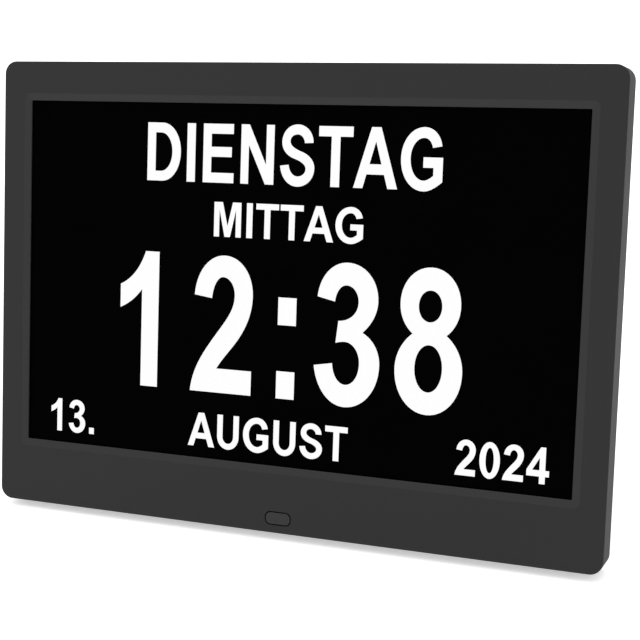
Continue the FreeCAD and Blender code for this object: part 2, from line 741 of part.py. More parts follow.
def add_cover_inside(body):
    """Posts, ribs and boxes moulded on the cover's inner side."""
    add(body, "recess_box", f"{RECESS_FLOOR} - rib", HUMP_INSIDE, lambda sketch: box(
        sketch, f"-{RECESS_HALF} - rib", "hump_low", f"{RECESS_HALF} + rib", "hinge_up"))
    add(body, "hinge_box", f"{HINGE_FLOOR} - rib", HUMP_INSIDE, lambda sketch: box(
        sketch, f"-{RECESS_HALF} - rib", "hinge_up - barrel_radius - stand_gap - rib",
        f"{RECESS_HALF} + rib", f"{RECESS_TOP} + rib"))
    add(body, "keyhole_boxes", f"{KEYHOLE_FLOOR} - rib", HUMP_INSIDE, lambda sketch: [
        box(sketch, f"{across} - keyhole_head - rib", "keyhole_up - keyhole_head - rib",
            f"{across} + keyhole_head + rib", "keyhole_up + keyhole_rise + keyhole_head + rib")
        for across in sides("keyhole_across")])
    add(body, "screw_cups", CUP_FRONT, "case_depth", circles(cover_screw_places(), "cup_radius"))
    add(body, "board_posts", BOARD_BACK, HUMP_INSIDE, circles(board_post_places(), "board_post"))
    add(body, "key_posts", KEY_BOARD_BACK, HUMP_INSIDE, circles(key_post_places(), "key_post"))
    add(body, "speaker_ring", f"{SPEAKER_BACK} - rib", HUMP_INSIDE, lambda sketch: [
        circle(sketch, SPEAKER_ACROSS, SPEAKER_UP, "speaker_radius + socket_gap + rib"),
        circle(sketch, SPEAKER_ACROSS, SPEAKER_UP, "speaker_radius + socket_gap")])
    cut(body, "board_pilots", BOARD_BACK, HUMP_INSIDE, circles(board_post_places(), "pilot_radius"))
    cut(body, "key_pilots", KEY_BOARD_BACK, HUMP_INSIDE, circles(key_post_places(), "pilot_radius"))
    cut(body, "cup_holes", CUP_FRONT, "case_depth", circles(cover_screw_places(), "screw_hole"))
    cut(body, "cup_bores", "case_depth - head_sink", "case_depth",
        circles(cover_screw_places(), "cup_bore"))


def cut_stand_recess(body):
    """Room for the folded leg, its barrel and the heel that stops it."""
    cut(body, "leg_recess", RECESS_FLOOR, HUMP_BACK, lambda sketch: box(
        sketch, f"-{RECESS_HALF}", "hump_low", RECESS_HALF, "hinge_up"))
    cut(body, "barrel_recess", HINGE_FLOOR, HUMP_BACK, lambda sketch: box(
        sketch, f"-{RECESS_HALF}", "hinge_up - barrel_radius - stand_gap", RECESS_HALF, RECESS_TOP))
    cut_across(body, "pin_holes", f"-{RECESS_HALF} - rib", f"{RECESS_HALF} + rib",
               lambda sketch: circle(sketch, HINGE_BACK, "hinge_up", "pin_radius + pin_press"))


def cut_keyholes(body):
    """Two blind keyholes: a round entry, a narrow slot above it and room for the screw's head."""
    across = sides("keyhole_across")
    slot_top = "keyhole_up + keyhole_rise"
    cut(body, "keyhole_entries", KEYHOLE_FLOOR, HUMP_BACK,
        circles([(x, "keyhole_up") for x in across], "keyhole_entry"))
    cut(body, "keyhole_slots", HUMP_INSIDE, HUMP_BACK, lambda sketch: [
        box(sketch, f"{x} - keyhole_slot / 2", "keyhole_up", f"{x} + keyhole_slot / 2", slot_top)
        for x in across])
    cut(body, "keyhole_tops", HUMP_INSIDE, HUMP_BACK,
        circles([(x, slot_top) for x in across], "keyhole_slot / 2"))
    cut(body, "keyhole_rooms", KEYHOLE_FLOOR, HUMP_INSIDE, lambda sketch: [
        round_box(sketch, x, "(keyhole_up + keyhole_rise / 2)", "2 * keyhole_head",
                  "2 * keyhole_head + keyhole_rise", "keyhole_corner") for x in across])


def cut_cover_openings(body):
    """Openings for keys, sound, air, the label and the sockets."""
    cut(body, "key_openings", HUMP_INSIDE, HUMP_BACK, lambda sketch: [
        round_box(sketch, across, "key_up", "key_width + 2 * key_gap", "key_high + 2 * key_gap",
                  "key_corner + key_gap") for across in key_places()])
    reach = SIZES["grille_radius"] / SIZES["grille_pitch"]
    steps = range(-int(reach), int(reach) + 1)
    holes = [(f"({SPEAKER_ACROSS} + {column} * grille_pitch)", f"({SPEAKER_UP} + {row} * grille_pitch)")
             for column in steps for row in steps if math.hypot(column, row) <= reach]
    cut(body, "speaker_grille", HUMP_INSIDE, HUMP_BACK, circles(holes, "grille_hole"))
    middle = (SIZES["vent_count"] - 1) / 2
    cut(body, "air_vents", HUMP_INSIDE, HUMP_BACK, lambda sketch: [
        round_box(sketch, f"(vent_across + {index - middle} * vent_pitch)", "vent_up", "vent_wide",
                  "vent_long", "vent_corner") for index in range(SIZES["vent_count"])])
    cut(body, "label_recess", f"{HUMP_BACK} - label_deep", HUMP_BACK, lambda sketch: middle_box(
        sketch, "chip_across", "label_up", "label_wide + 2 * label_gap", "label_high + 2 * label_gap"))
    cut_across(body, "socket_openings", f"{HUMP_HALF} - cover_thick", HUMP_HALF, lambda sketch: [
        box(sketch, f"{BOARD_BACK} - socket_gap", f"{up} - {wide} / 2 - socket_gap",
            f"{BOARD_BACK} + {high} + socket_gap", f"{up} + {wide} / 2 + socket_gap")
        for up, wide, high in (("jack_up", "jack_wide", "jack_high"), ("usb_up", "usb_wide", "usb_high"),
                               ("card_up", "card_wide", "card_high"))])


def make_sockets():
    """The power jack, the memory stick's socket and the card's socket, all on the board's right edge."""
    body = new_body("power_jack")
    middle = f"({BOARD_BACK} + jack_high / 2)"
    add_across(body, "jack_case", f"{SOCKET_FACE} - jack_long", SOCKET_FACE, lambda sketch: box(
        sketch, BOARD_BACK, "jack_up - jack_wide / 2", f"{BOARD_BACK} + jack_high",
        "jack_up + jack_wide / 2"))
    cut_across(body, "jack_bore_hole", f"{SOCKET_FACE} - jack_bore_deep", SOCKET_FACE,
               lambda sketch: circle(sketch, middle, "jack_up", "jack_bore"))
    add_across(body, "jack_centre", f"{SOCKET_FACE} - jack_bore_deep", f"{SOCKET_FACE} - jack_bore",
               lambda sketch: circle(sketch, middle, "jack_up", "jack_pin"))
    body = new_body("usb_socket")
    add_across(body, "usb_shell", f"{SOCKET_FACE} - usb_long", SOCKET_FACE, lambda sketch: box(
        sketch, BOARD_BACK, "usb_up - usb_wide / 2", f"{BOARD_BACK} + usb_high", "usb_up + usb_wide / 2"))
    cut_across(body, "usb_mouth", f"{SOCKET_FACE} - usb_deep", SOCKET_FACE, lambda sketch: box(
        sketch, f"{BOARD_BACK} + usb_skin", "usb_up - usb_wide / 2 + usb_skin",
        f"{BOARD_BACK} + usb_high - usb_skin", "usb_up + usb_wide / 2 - usb_skin"))
    add_across(body, "usb_tongue_bar", f"{SOCKET_FACE} - usb_deep",
               f"{SOCKET_FACE} - usb_deep + usb_tongue_long", lambda sketch: box(
                   sketch, f"{BOARD_BACK} + 2 * usb_skin", "usb_up - usb_tongue_wide / 2",
                   f"{BOARD_BACK} + 2 * usb_skin + usb_tongue", "usb_up + usb_tongue_wide / 2"))
    body = new_body("card_socket")
    card_middle = f"({BOARD_BACK} + card_high / 2)"
    add_across(body, "card_shell", f"{SOCKET_FACE} - card_long", SOCKET_FACE, lambda sketch: box(
        sketch, BOARD_BACK, "card_up - card_wide / 2", f"{BOARD_BACK} + card_high",
        "card_up + card_wide / 2"))
    cut_across(body, "card_slot", f"{SOCKET_FACE} - card_slot_deep", SOCKET_FACE, lambda sketch: box(
        sketch, f"{card_middle} - card_slot_high / 2", "card_up - card_slot_wide / 2",
        f"{card_middle} + card_slot_high / 2", "card_up + card_slot_wide / 2"))


def make_main_board():
    board_middle = (f"(({BOARD_LEFT} + {BOARD_RIGHT}) / 2)", "(board_low + board_high / 2)")
    body = plate("main_board", BOARD_FRONT, BOARD_BACK, *board_middle, "board_width", "board_high")
    cut(body, "main_board_holes", BOARD_FRONT, BOARD_BACK, circles(board_post_places(), "screw_hole"))
    screws("board_screws", board_post_places(), BOARD_FRONT, False, "(board_thick + board_tall - stop_gap)")
    plate("main_chip", BOARD_BACK, f"{BOARD_BACK} + chip_thick", "chip_across", "chip_up", "chip_side",
          "chip_side")
    plate("memory_chip", BOARD_BACK, f"{BOARD_BACK} + chip_thick", "chip_across", "memory_up",
          "memory_wide", "memory_high")
    body = new_body("board_components")
    add(body, "coil", BOARD_BACK, f"{BOARD_BACK} + coil_thick", lambda sketch: middle_box(
        sketch, "coil_across", "coil_up", "coil_side", "coil_side"))
    add(body, "capacitors", BOARD_BACK, f"{BOARD_BACK} + capacitor_long", circles(
        [(f"(chip_across + {index - 1} * capacitor_pitch)", "capacitor_up")
         for index in range(SIZES["capacitor_count"])], "capacitor_radius"))
    body = new_body("battery_holder")
    place = ("battery_across", "battery_up")
    add(body, "holder_cup", BOARD_BACK, f"{BOARD_BACK} + holder_floor + battery_thick", circles(
        [place], "battery_radius + holder_fit + holder_wall"))
    cut(body, "holder_room", f"{BOARD_BACK} + holder_floor", f"{BOARD_BACK} + holder_floor + battery_thick",
        circles([place], "battery_radius + holder_fit"))
    body = new_body("coin_battery")
    add(body, "battery_disc", f"{BOARD_BACK} + holder_floor", f"{BOARD_BACK} + holder_floor + battery_thick",
        circles([place], "battery_radius"))


def make_speaker():
    rim = "(speaker_radius - speaker_flange)"
    turned(new_body("speaker_frame"), "speaker_basket", SPEAKER_ACROSS, SPEAKER_UP, [
        ("speaker_radius", SPEAKER_BACK), ("speaker_radius", f"{SPEAKER_BACK} - speaker_skin"),
        (rim, f"{SPEAKER_BACK} - speaker_skin"), ("magnet_radius", SPEAKER_FRONT),
        ("speaker_pole", SPEAKER_FRONT), ("speaker_pole", f"{SPEAKER_FRONT} + speaker_skin"),
        ("magnet_radius - speaker_skin", f"{SPEAKER_FRONT} + speaker_skin"),
        (f"{rim} - speaker_skin", SPEAKER_BACK)])
    add(pieces["speaker_frame"], "lead_tab", f"{SPEAKER_BACK} - 2 * speaker_skin",
        f"{SPEAKER_BACK} - speaker_skin", lambda sketch: middle_box(
            sketch, f"({SPEAKER_ACROSS} + speaker_radius - tab_long / 2)", SPEAKER_UP, "tab_long",
            "tab_wide"))
    body = new_body("speaker_magnet")
    add(body, "magnet_disc", f"{SPEAKER_FRONT} - magnet_thick", SPEAKER_FRONT, circles(
        [(SPEAKER_ACROSS, SPEAKER_UP)], "magnet_radius"))
    edge = f"({rim} - speaker_skin - cone_gap)"
    front = f"({SPEAKER_BACK} - cone_dip)"
    turned(new_body("speaker_cone"), "cone_skin", SPEAKER_ACROSS, SPEAKER_UP, [
        ("0", f"{front} + dome_rise"), ("0", f"{front} + dome_rise - cone_thick"),
        ("dome_radius", f"{front} - cone_thick"), (edge, f"{SPEAKER_BACK} - 2 * cone_thick"),
        (edge, f"{SPEAKER_BACK} - cone_thick"), ("dome_radius", front)])
    body = new_body("speaker_gasket")
    add(body, "gasket_ring", SPEAKER_BACK, HUMP_INSIDE, lambda sketch: [
        circle(sketch, SPEAKER_ACROSS, SPEAKER_UP, "speaker_radius"),
        circle(sketch, SPEAKER_ACROSS, SPEAKER_UP, rim)])


def make_keys():
    body = plate("key_board", KEY_BOARD_FRONT, KEY_BOARD_BACK, "0", "key_up", "key_board_width",
                 "key_board_high")
    cut(body, "key_board_holes", KEY_BOARD_FRONT, KEY_BOARD_BACK, circles(key_post_places(), "screw_hole"))
    screws("key_board_screws", key_post_places(), KEY_BOARD_FRONT, False,
           f"(key_board_thick + {HUMP_INSIDE} - {KEY_BOARD_BACK} - stop_gap)")
    body = new_body("key_switches")
    add(body, "switch_cases", KEY_BOARD_BACK, SWITCH_BACK, lambda sketch: [
        middle_box(sketch, across, "key_up", "switch_side", "switch_side") for across in key_places()])
    cut(body, "switch_bores", f"{SWITCH_BACK} - switch_deep", SWITCH_BACK, circles(
        [(across, "key_up") for across in key_places()], "plunger_radius + plunger_fit"))
    names = ["power", "menu", "up", "down", "enter", "exit"][:SIZES["key_count"]]
    for name, across in zip(names, key_places()):
        make_key(name, across)


def make_key(name, across):
    """One key with a flange behind the cover, and the switch plunger that it presses."""
    body = new_body(f"{name}_key")
    add(body, "key_cap", KEY_LAP_FRONT, KEY_BACK, lambda sketch: round_box(
        sketch, across, "key_up", "key_width", "key_high", "key_corner"))
    round_edges(body, "key_rounding", "key_edge", at_depth(KEY_BACK))
    add(body, "key_flange", KEY_LAP_FRONT, HUMP_INSIDE, lambda sketch: round_box(
        sketch, across, "key_up", "key_width + 2 * key_lap", "key_high + 2 * key_lap", "key_corner"))
    body = new_body(f"{name}_plunger")
    add(body, "plunger_rod", f"{KEY_LAP_FRONT} - plunger_long", KEY_LAP_FRONT, circles(
        [(across, "key_up")], "plunger_radius"))


def make_stand():
    body = new_body("stand_leg", set_on_hinge)
    tip_end = f"(boot_sole - {LEG_REACH})"
    front = "(barrel_radius - stand_thick)"
    add(body, "leg_plate", front, "barrel_radius", lambda sketch: polygon(sketch, [
        ("-stand_width / 2", "stand_heel"), ("-stand_width / 2", "-stand_shoulder"),
        ("-stand_tip / 2", "-stand_taper"), ("-stand_tip / 2", tip_end), ("stand_tip / 2", tip_end),
        ("stand_tip / 2", "-stand_taper"), ("stand_width / 2", "-stand_shoulder"),
        ("stand_width / 2", "stand_heel")]))
    add_across(body, "leg_barrel", "-stand_width / 2", "stand_width / 2",
               lambda sketch: circle(sketch, "0", "0", "barrel_radius"))
    cut_across(body, "leg_bore", "-stand_width / 2", "stand_width / 2",
               lambda sketch: circle(sketch, "0", "0", "pin_radius + pin_fit"))
    relief_top = "-relief_top"
    relief_low = f"(relief_low - {LEG_REACH})"
    cut(body, "leg_relief", "barrel_radius - panel_relief", "barrel_radius", lambda sketch: round_box(
        sketch, "0", f"(({relief_top} + {relief_low}) / 2)", "stand_tip - 2 * relief_margin",
        f"{relief_top} - {relief_low}", "relief_corner"))
    body = new_body("stand_boot", set_on_hinge)
    half = "(stand_tip / 2 + boot_wall)"
    sole = [(depth, f"-{LEG_REACH} - {depth} * tan({LEG_TILT})") for depth in (BOOT_FRONT, BOOT_BACK)]
    boot_top = f"(boot_high - {LEG_REACH})"
    add_across(body, "boot_block", f"-{half}", half, lambda sketch: polygon(
        sketch, sole + [(BOOT_BACK, boot_top), (BOOT_FRONT, boot_top)]))
    cut(body, "boot_socket", front, "barrel_radius", lambda sketch: box(
        sketch, "-stand_tip / 2", tip_end, "stand_tip / 2", boot_top))
    body = new_body("stand_pin")
    add_across(body, "pin_rod", f"-{RECESS_HALF} - rib", f"{RECESS_HALF} + rib",
               lambda sketch: circle(sketch, HINGE_BACK, "hinge_up", "pin_radius"))


def make_feet():
    """Two rubber feet under the case, cut so that their soles lie flat on the table."""
    body = new_body("case_feet")
    back = "(case_depth - foot_back)"
    front = f"({back} - foot_wide)"

    def draw(sketch):
        sole = [(depth, f"({depth} * sin(lean_angle) - {RAISE}) / cos(lean_angle)") for depth in (back, front)]
        polygon(sketch, [(front, "0"), (back, "0")] + sole)

    add_across(body, "right_foot", "foot_across - foot_long / 2", "foot_across + foot_long / 2", draw)
    add_across(body, "left_foot", "-foot_across - foot_long / 2", "foot_long / 2 - foot_across", draw)


def make_label():
    plate("rating_label", f"{HUMP_BACK} - label_deep", f"{HUMP_BACK} - label_deep + label_thick",
          "chip_across", "label_up", "label_wide", "label_high")


def ribbon(label, across, width, start, end):
    """A flat cable: laps flat on one board, crosses over and laps flat on the other.

    Start and end give the depth and height of its two ends; it lies on the near side of the second.
    """
    (start_depth, start_up), (end_depth, end_up) = start, end
    thick = "ribbon_thick"
    rise = "ribbon_lap" if number(end_up) > number(start_up) else "-ribbon_lap"
    near = [(start_depth, start_up), (start_depth, f"{start_up} + {rise}"),
            (end_depth, f"{end_up} - {rise}"), (end_depth, end_up)]
    far = [(f"{depth} + {thick}", up) for depth, up in near]
    body = new_body(label)
    add_across(body, label + "_strip", f"{across} - {width} / 2", f"{across} + {width} / 2",
               lambda sketch: polygon(sketch, near + far[::-1]))


def make_ribbons():
    ribbon("display_ribbon", "display_ribbon_across", "display_ribbon_wide",
           (PANEL_BOARD_BACK, f"({PANEL_BOARD_LOW} + panel_board_high - ribbon_lap)"),
           (f"({BOARD_FRONT} - ribbon_thick)", "(board_low + 3 * ribbon_lap)"))
    ribbon("key_ribbon", "key_ribbon_across", "key_ribbon_wide",
           (f"({KEY_BOARD_FRONT} - ribbon_thick)", "(key_up - key_board_high / 2 + ribbon_lap)"),
           (f"({BOARD_FRONT} - ribbon_thick)", "(board_low + board_high - ribbon_lap)"))


def bent_wire(corners, radius):
    """A round wire along straight runs joined by tangent arcs, whose radius is a share of the shorter
    run divided by the tangent of half the turn."""
    points = [FreeCAD.Vector(*(number(text) for text in corner)) for corner in corners]
    edges = []
    start = points[0]
    for before, corner, after in zip(points, points[1:], points[2:]):
        arriving = (corner - before).normalize()
        leaving = (after - corner).normalize()
        setback = BEND_SHARE * min(before.distanceToPoint(corner), corner.distanceToPoint(after))
        inside = (leaving - arriving).normalize()
        half_turn = arriving.getAngle(leaving) / 2
        arc_radius = setback / math.tan(half_turn)
        sagitta = arc_radius * (1 / math.cos(half_turn) - 1)
        arc_start = corner - arriving * setback
        arc_end = corner + leaving * setback
        edges.append(Part.LineSegment(start, arc_start).toShape())
        edges.append(Part.Arc(arc_start, corner + inside * sagitta, arc_end).toShape())
        start = arc_end
    edges.append(Part.LineSegment(start, points[-1]).toShape())
    path = Part.Wire(edges)
    section = Part.Wire([Part.Circle(points[0], points[1] - points[0], radius).toShape()])
    return path.makePipeShell([section], True, False)


def wires(label, routes):
    """Round wires side by side, one for each route."""
    piece = document.addObject("Part::Feature", label)
    tubes = [bent_wire(corners, number("wire_radius")) for corners in routes]
    piece.Shape = tubes[0] if len(tubes) == 1 else Part.Compound(tubes)
    set_in_case(piece)
    pieces[label] = piece


def make_wires():
    """Two wires to the speaker and three to the remote receiver, all carried between display and cover."""
    tab = f"({SPEAKER_ACROSS} + speaker_radius - tab_long / 2)"
    tab_front = f"({SPEAKER_BACK} - 2 * speaker_skin)"
    pad = f"({BOARD_LEFT} + 2 * board_post)"
    wires("speaker_leads", [
        [(tab, tab_front, f"{SPEAKER_UP} {sign} wire_spread / 2"),
         (tab, "wire_depth", f"{SPEAKER_UP} {sign} wire_spread / 2"),
         (pad, "wire_depth", f"capacitor_up {sign} wire_spread / 2"),
         (pad, BOARD_FRONT, f"capacitor_up {sign} wire_spread / 2")] for sign in "+-"])
    board_back = f"({RECEIVER_BACK} + thin_board)"
    row = "(receiver_board_low + receiver_board_high - 2 * wire_radius)"
    wires("receiver_leads", [
        [(f"{step} * wire_spread", board_back, row), (f"{step} * wire_spread", "wire_depth", row),
         (f"{pad} + ({step + 2}) * wire_spread", "wire_depth", "board_low + board_post"),
         (f"{pad} + ({step + 2}) * wire_spread", BOARD_FRONT, "board_low + board_post")]
        for step in (-1, 0, 1)])


def check_model():
    """Stops where a feature failed, a pocket cut nothing or a piece is not a sound solid."""
    for item in document.Objects:
        if "Invalid" in item.State or "Error" in item.State:
            raise RuntimeError(f"{item.Label} failed: {item.State}")
        if item.TypeId == "PartDesign::Pocket":
            if item.Shape.Volume >= item.BaseFeature.Shape.Volume - LEAST_CUT:
                raise RuntimeError(f"{item.Label} cuts nothing")
    for label, piece in pieces.items():
        if piece.Shape.isNull() or not piece.Shape.isValid() or not piece.Shape.Solids:
            raise RuntimeError(f"{label} has no valid solid")


def write_parts():
    os.makedirs("parts", exist_ok=True)
    for label, piece in pieces.items():
        piece.Label = label
        piece.Shape.exportStep(f"parts/{label}.step")


fill_sheet()
make_front_frame()
make_receiver()
make_display()
make_rear_cover()
screws("cover_screws", cover_screw_places(), "(case_depth - head_sink)", True, "cover_screw_long")
make_main_board()
make_sockets()
make_speaker()
make_keys()
make_stand()
make_feet()
make_label()
make_ribbons()
make_wires()
document.recompute()
check_model()
write_parts()
print(len(pieces), "pieces")
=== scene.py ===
import json
import math

import bmesh
import bpy
import numpy as np
from mathutils import Matrix, Vector


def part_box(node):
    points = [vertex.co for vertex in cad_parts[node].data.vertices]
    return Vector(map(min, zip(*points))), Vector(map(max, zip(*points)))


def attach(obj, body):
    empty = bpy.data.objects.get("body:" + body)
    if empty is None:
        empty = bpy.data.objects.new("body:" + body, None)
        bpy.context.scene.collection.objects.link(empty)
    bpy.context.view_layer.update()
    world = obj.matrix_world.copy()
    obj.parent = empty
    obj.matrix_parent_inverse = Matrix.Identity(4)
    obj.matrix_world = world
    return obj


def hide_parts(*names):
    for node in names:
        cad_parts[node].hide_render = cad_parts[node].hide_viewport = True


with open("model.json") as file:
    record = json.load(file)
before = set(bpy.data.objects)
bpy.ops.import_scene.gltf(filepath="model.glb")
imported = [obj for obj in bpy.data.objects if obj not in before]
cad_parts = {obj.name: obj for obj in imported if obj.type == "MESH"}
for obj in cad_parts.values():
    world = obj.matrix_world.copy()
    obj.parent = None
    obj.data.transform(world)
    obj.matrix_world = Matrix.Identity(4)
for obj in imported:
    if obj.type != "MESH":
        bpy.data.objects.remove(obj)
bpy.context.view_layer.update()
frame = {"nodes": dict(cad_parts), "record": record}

nodes = frame["nodes"]
scene = bpy.context.scene
mm = 0.001

# Where the leaning case sits: x runs across, y from its front face back, z up from its bottom edge
caseSeat = {"lean": 12.0, "forward": -30.926294, "raise": 3.544434}


def inRow(points):
    # case millimetres to metres in the row: turned back by the lean about x, then moved onto the feet
    x, y, z = np.asarray(points, float).reshape(-1, 3).T
    lean = math.radians(caseSeat["lean"])
    back = y * math.cos(lean) + z * math.sin(lean) + caseSeat["forward"]
    up = z * math.cos(lean) - y * math.sin(lean) + caseSeat["raise"]
    return np.stack([x, back, up], axis=1) * mm


def linear(hexColour):
    # sRGB hex to the linear numbers that shaders take
    channels = np.array([int(hexColour[i:i + 2], 16) for i in (1, 3, 5)]) / 255
    values = np.where(channels <= 0.04045, channels / 12.92, ((channels + 0.055) / 1.055) ** 2.4)
    return (*values.tolist(), 1.0)


def addNode(tree, kind, settings=None, links=None):
    # a setting is a socket by name, or by number where several share a name, or else the node's own option
    node = tree.nodes.new(kind)
    for name, value in (settings or {}).items():
        if isinstance(name, int) or name in node.inputs:
            node.inputs[name].default_value = value
        else:
            setattr(node, name, value)
    for name, source in (links or {}).items():
        tree.links.new(source, node.inputs[name])
    return node


def perMetre(millimetres):
    # how often a pattern of this size repeats in a metre
    return 1000 / millimetres


def newMaterial(name):
    material = bpy.data.materials.new(name)
    material.use_nodes = True
    tree = material.node_tree
    tree.nodes.clear()
    return material, tree, addNode(tree, "ShaderNodeTexCoord").outputs["Object"]


def finish(material, tree, shader):
    addNode(tree, "ShaderNodeOutputMaterial", links={"Surface": shader.outputs[0]})
    return material


# a noise rarely leaves this band, so it is stretched over the whole range
noiseBand = {"From Min": 0.3, "From Max": 0.7}
sheenSpread = 0.04
# the Wave node draws one band in this much of its unit, or in twice as much along each axis when diagonal
waveLength = 0.314


def grained(name, look):
    # one body colour with slow drift, a moulded or rolled grain in relief, and a sheen that varies a little
    material, tree, place = newMaterial(name)
    if "stretch" in look:
        place = addNode(tree, "ShaderNodeMapping", {"Scale": look["stretch"]}, {"Vector": place}).outputs[0]
    drift = addNode(tree, "ShaderNodeTexNoise", {"Scale": perMetre(look["driftMm"]), "Detail": 3.0},
                    {"Vector": place})
    grain = addNode(tree, "ShaderNodeTexNoise",
                    {"Scale": perMetre(look["grainMm"]), "Detail": 2.0, "Roughness": 0.6}, {"Vector": place})
    colour = addNode(tree, "ShaderNodeMix",
                     {"data_type": "RGBA", 6: linear(look["colour"]), 7: linear(look["drifted"])},
                     {0: drift.outputs[0]})
    speck = addNode(tree, "ShaderNodeMapRange",
                    {**noiseBand, "To Min": 1 - look["speck"], "To Max": 1 + look["speck"]},
                    {"Value": grain.outputs[0]})
    tint = addNode(tree, "ShaderNodeVectorMath", {"operation": "SCALE"},
                   {0: colour.outputs[2], "Scale": speck.outputs[0]})
    rough = addNode(tree, "ShaderNodeMapRange",
                    {**noiseBand, "To Min": look["rough"] - sheenSpread,
                     "To Max": look["rough"] + sheenSpread}, {"Value": drift.outputs[0]})
    bump = addNode(tree, "ShaderNodeBump", {"Strength": look["bump"], "Distance": look["reliefMm"] * mm},
                   {"Height": grain.outputs[0]})
    shader = addNode(tree, "ShaderNodeBsdfPrincipled", look.get("shader", {}),
                     {"Base Color": tint.outputs[0], "Roughness": rough.outputs[0],
                      "Normal": bump.outputs[0]})
    return finish(material, tree, shader)


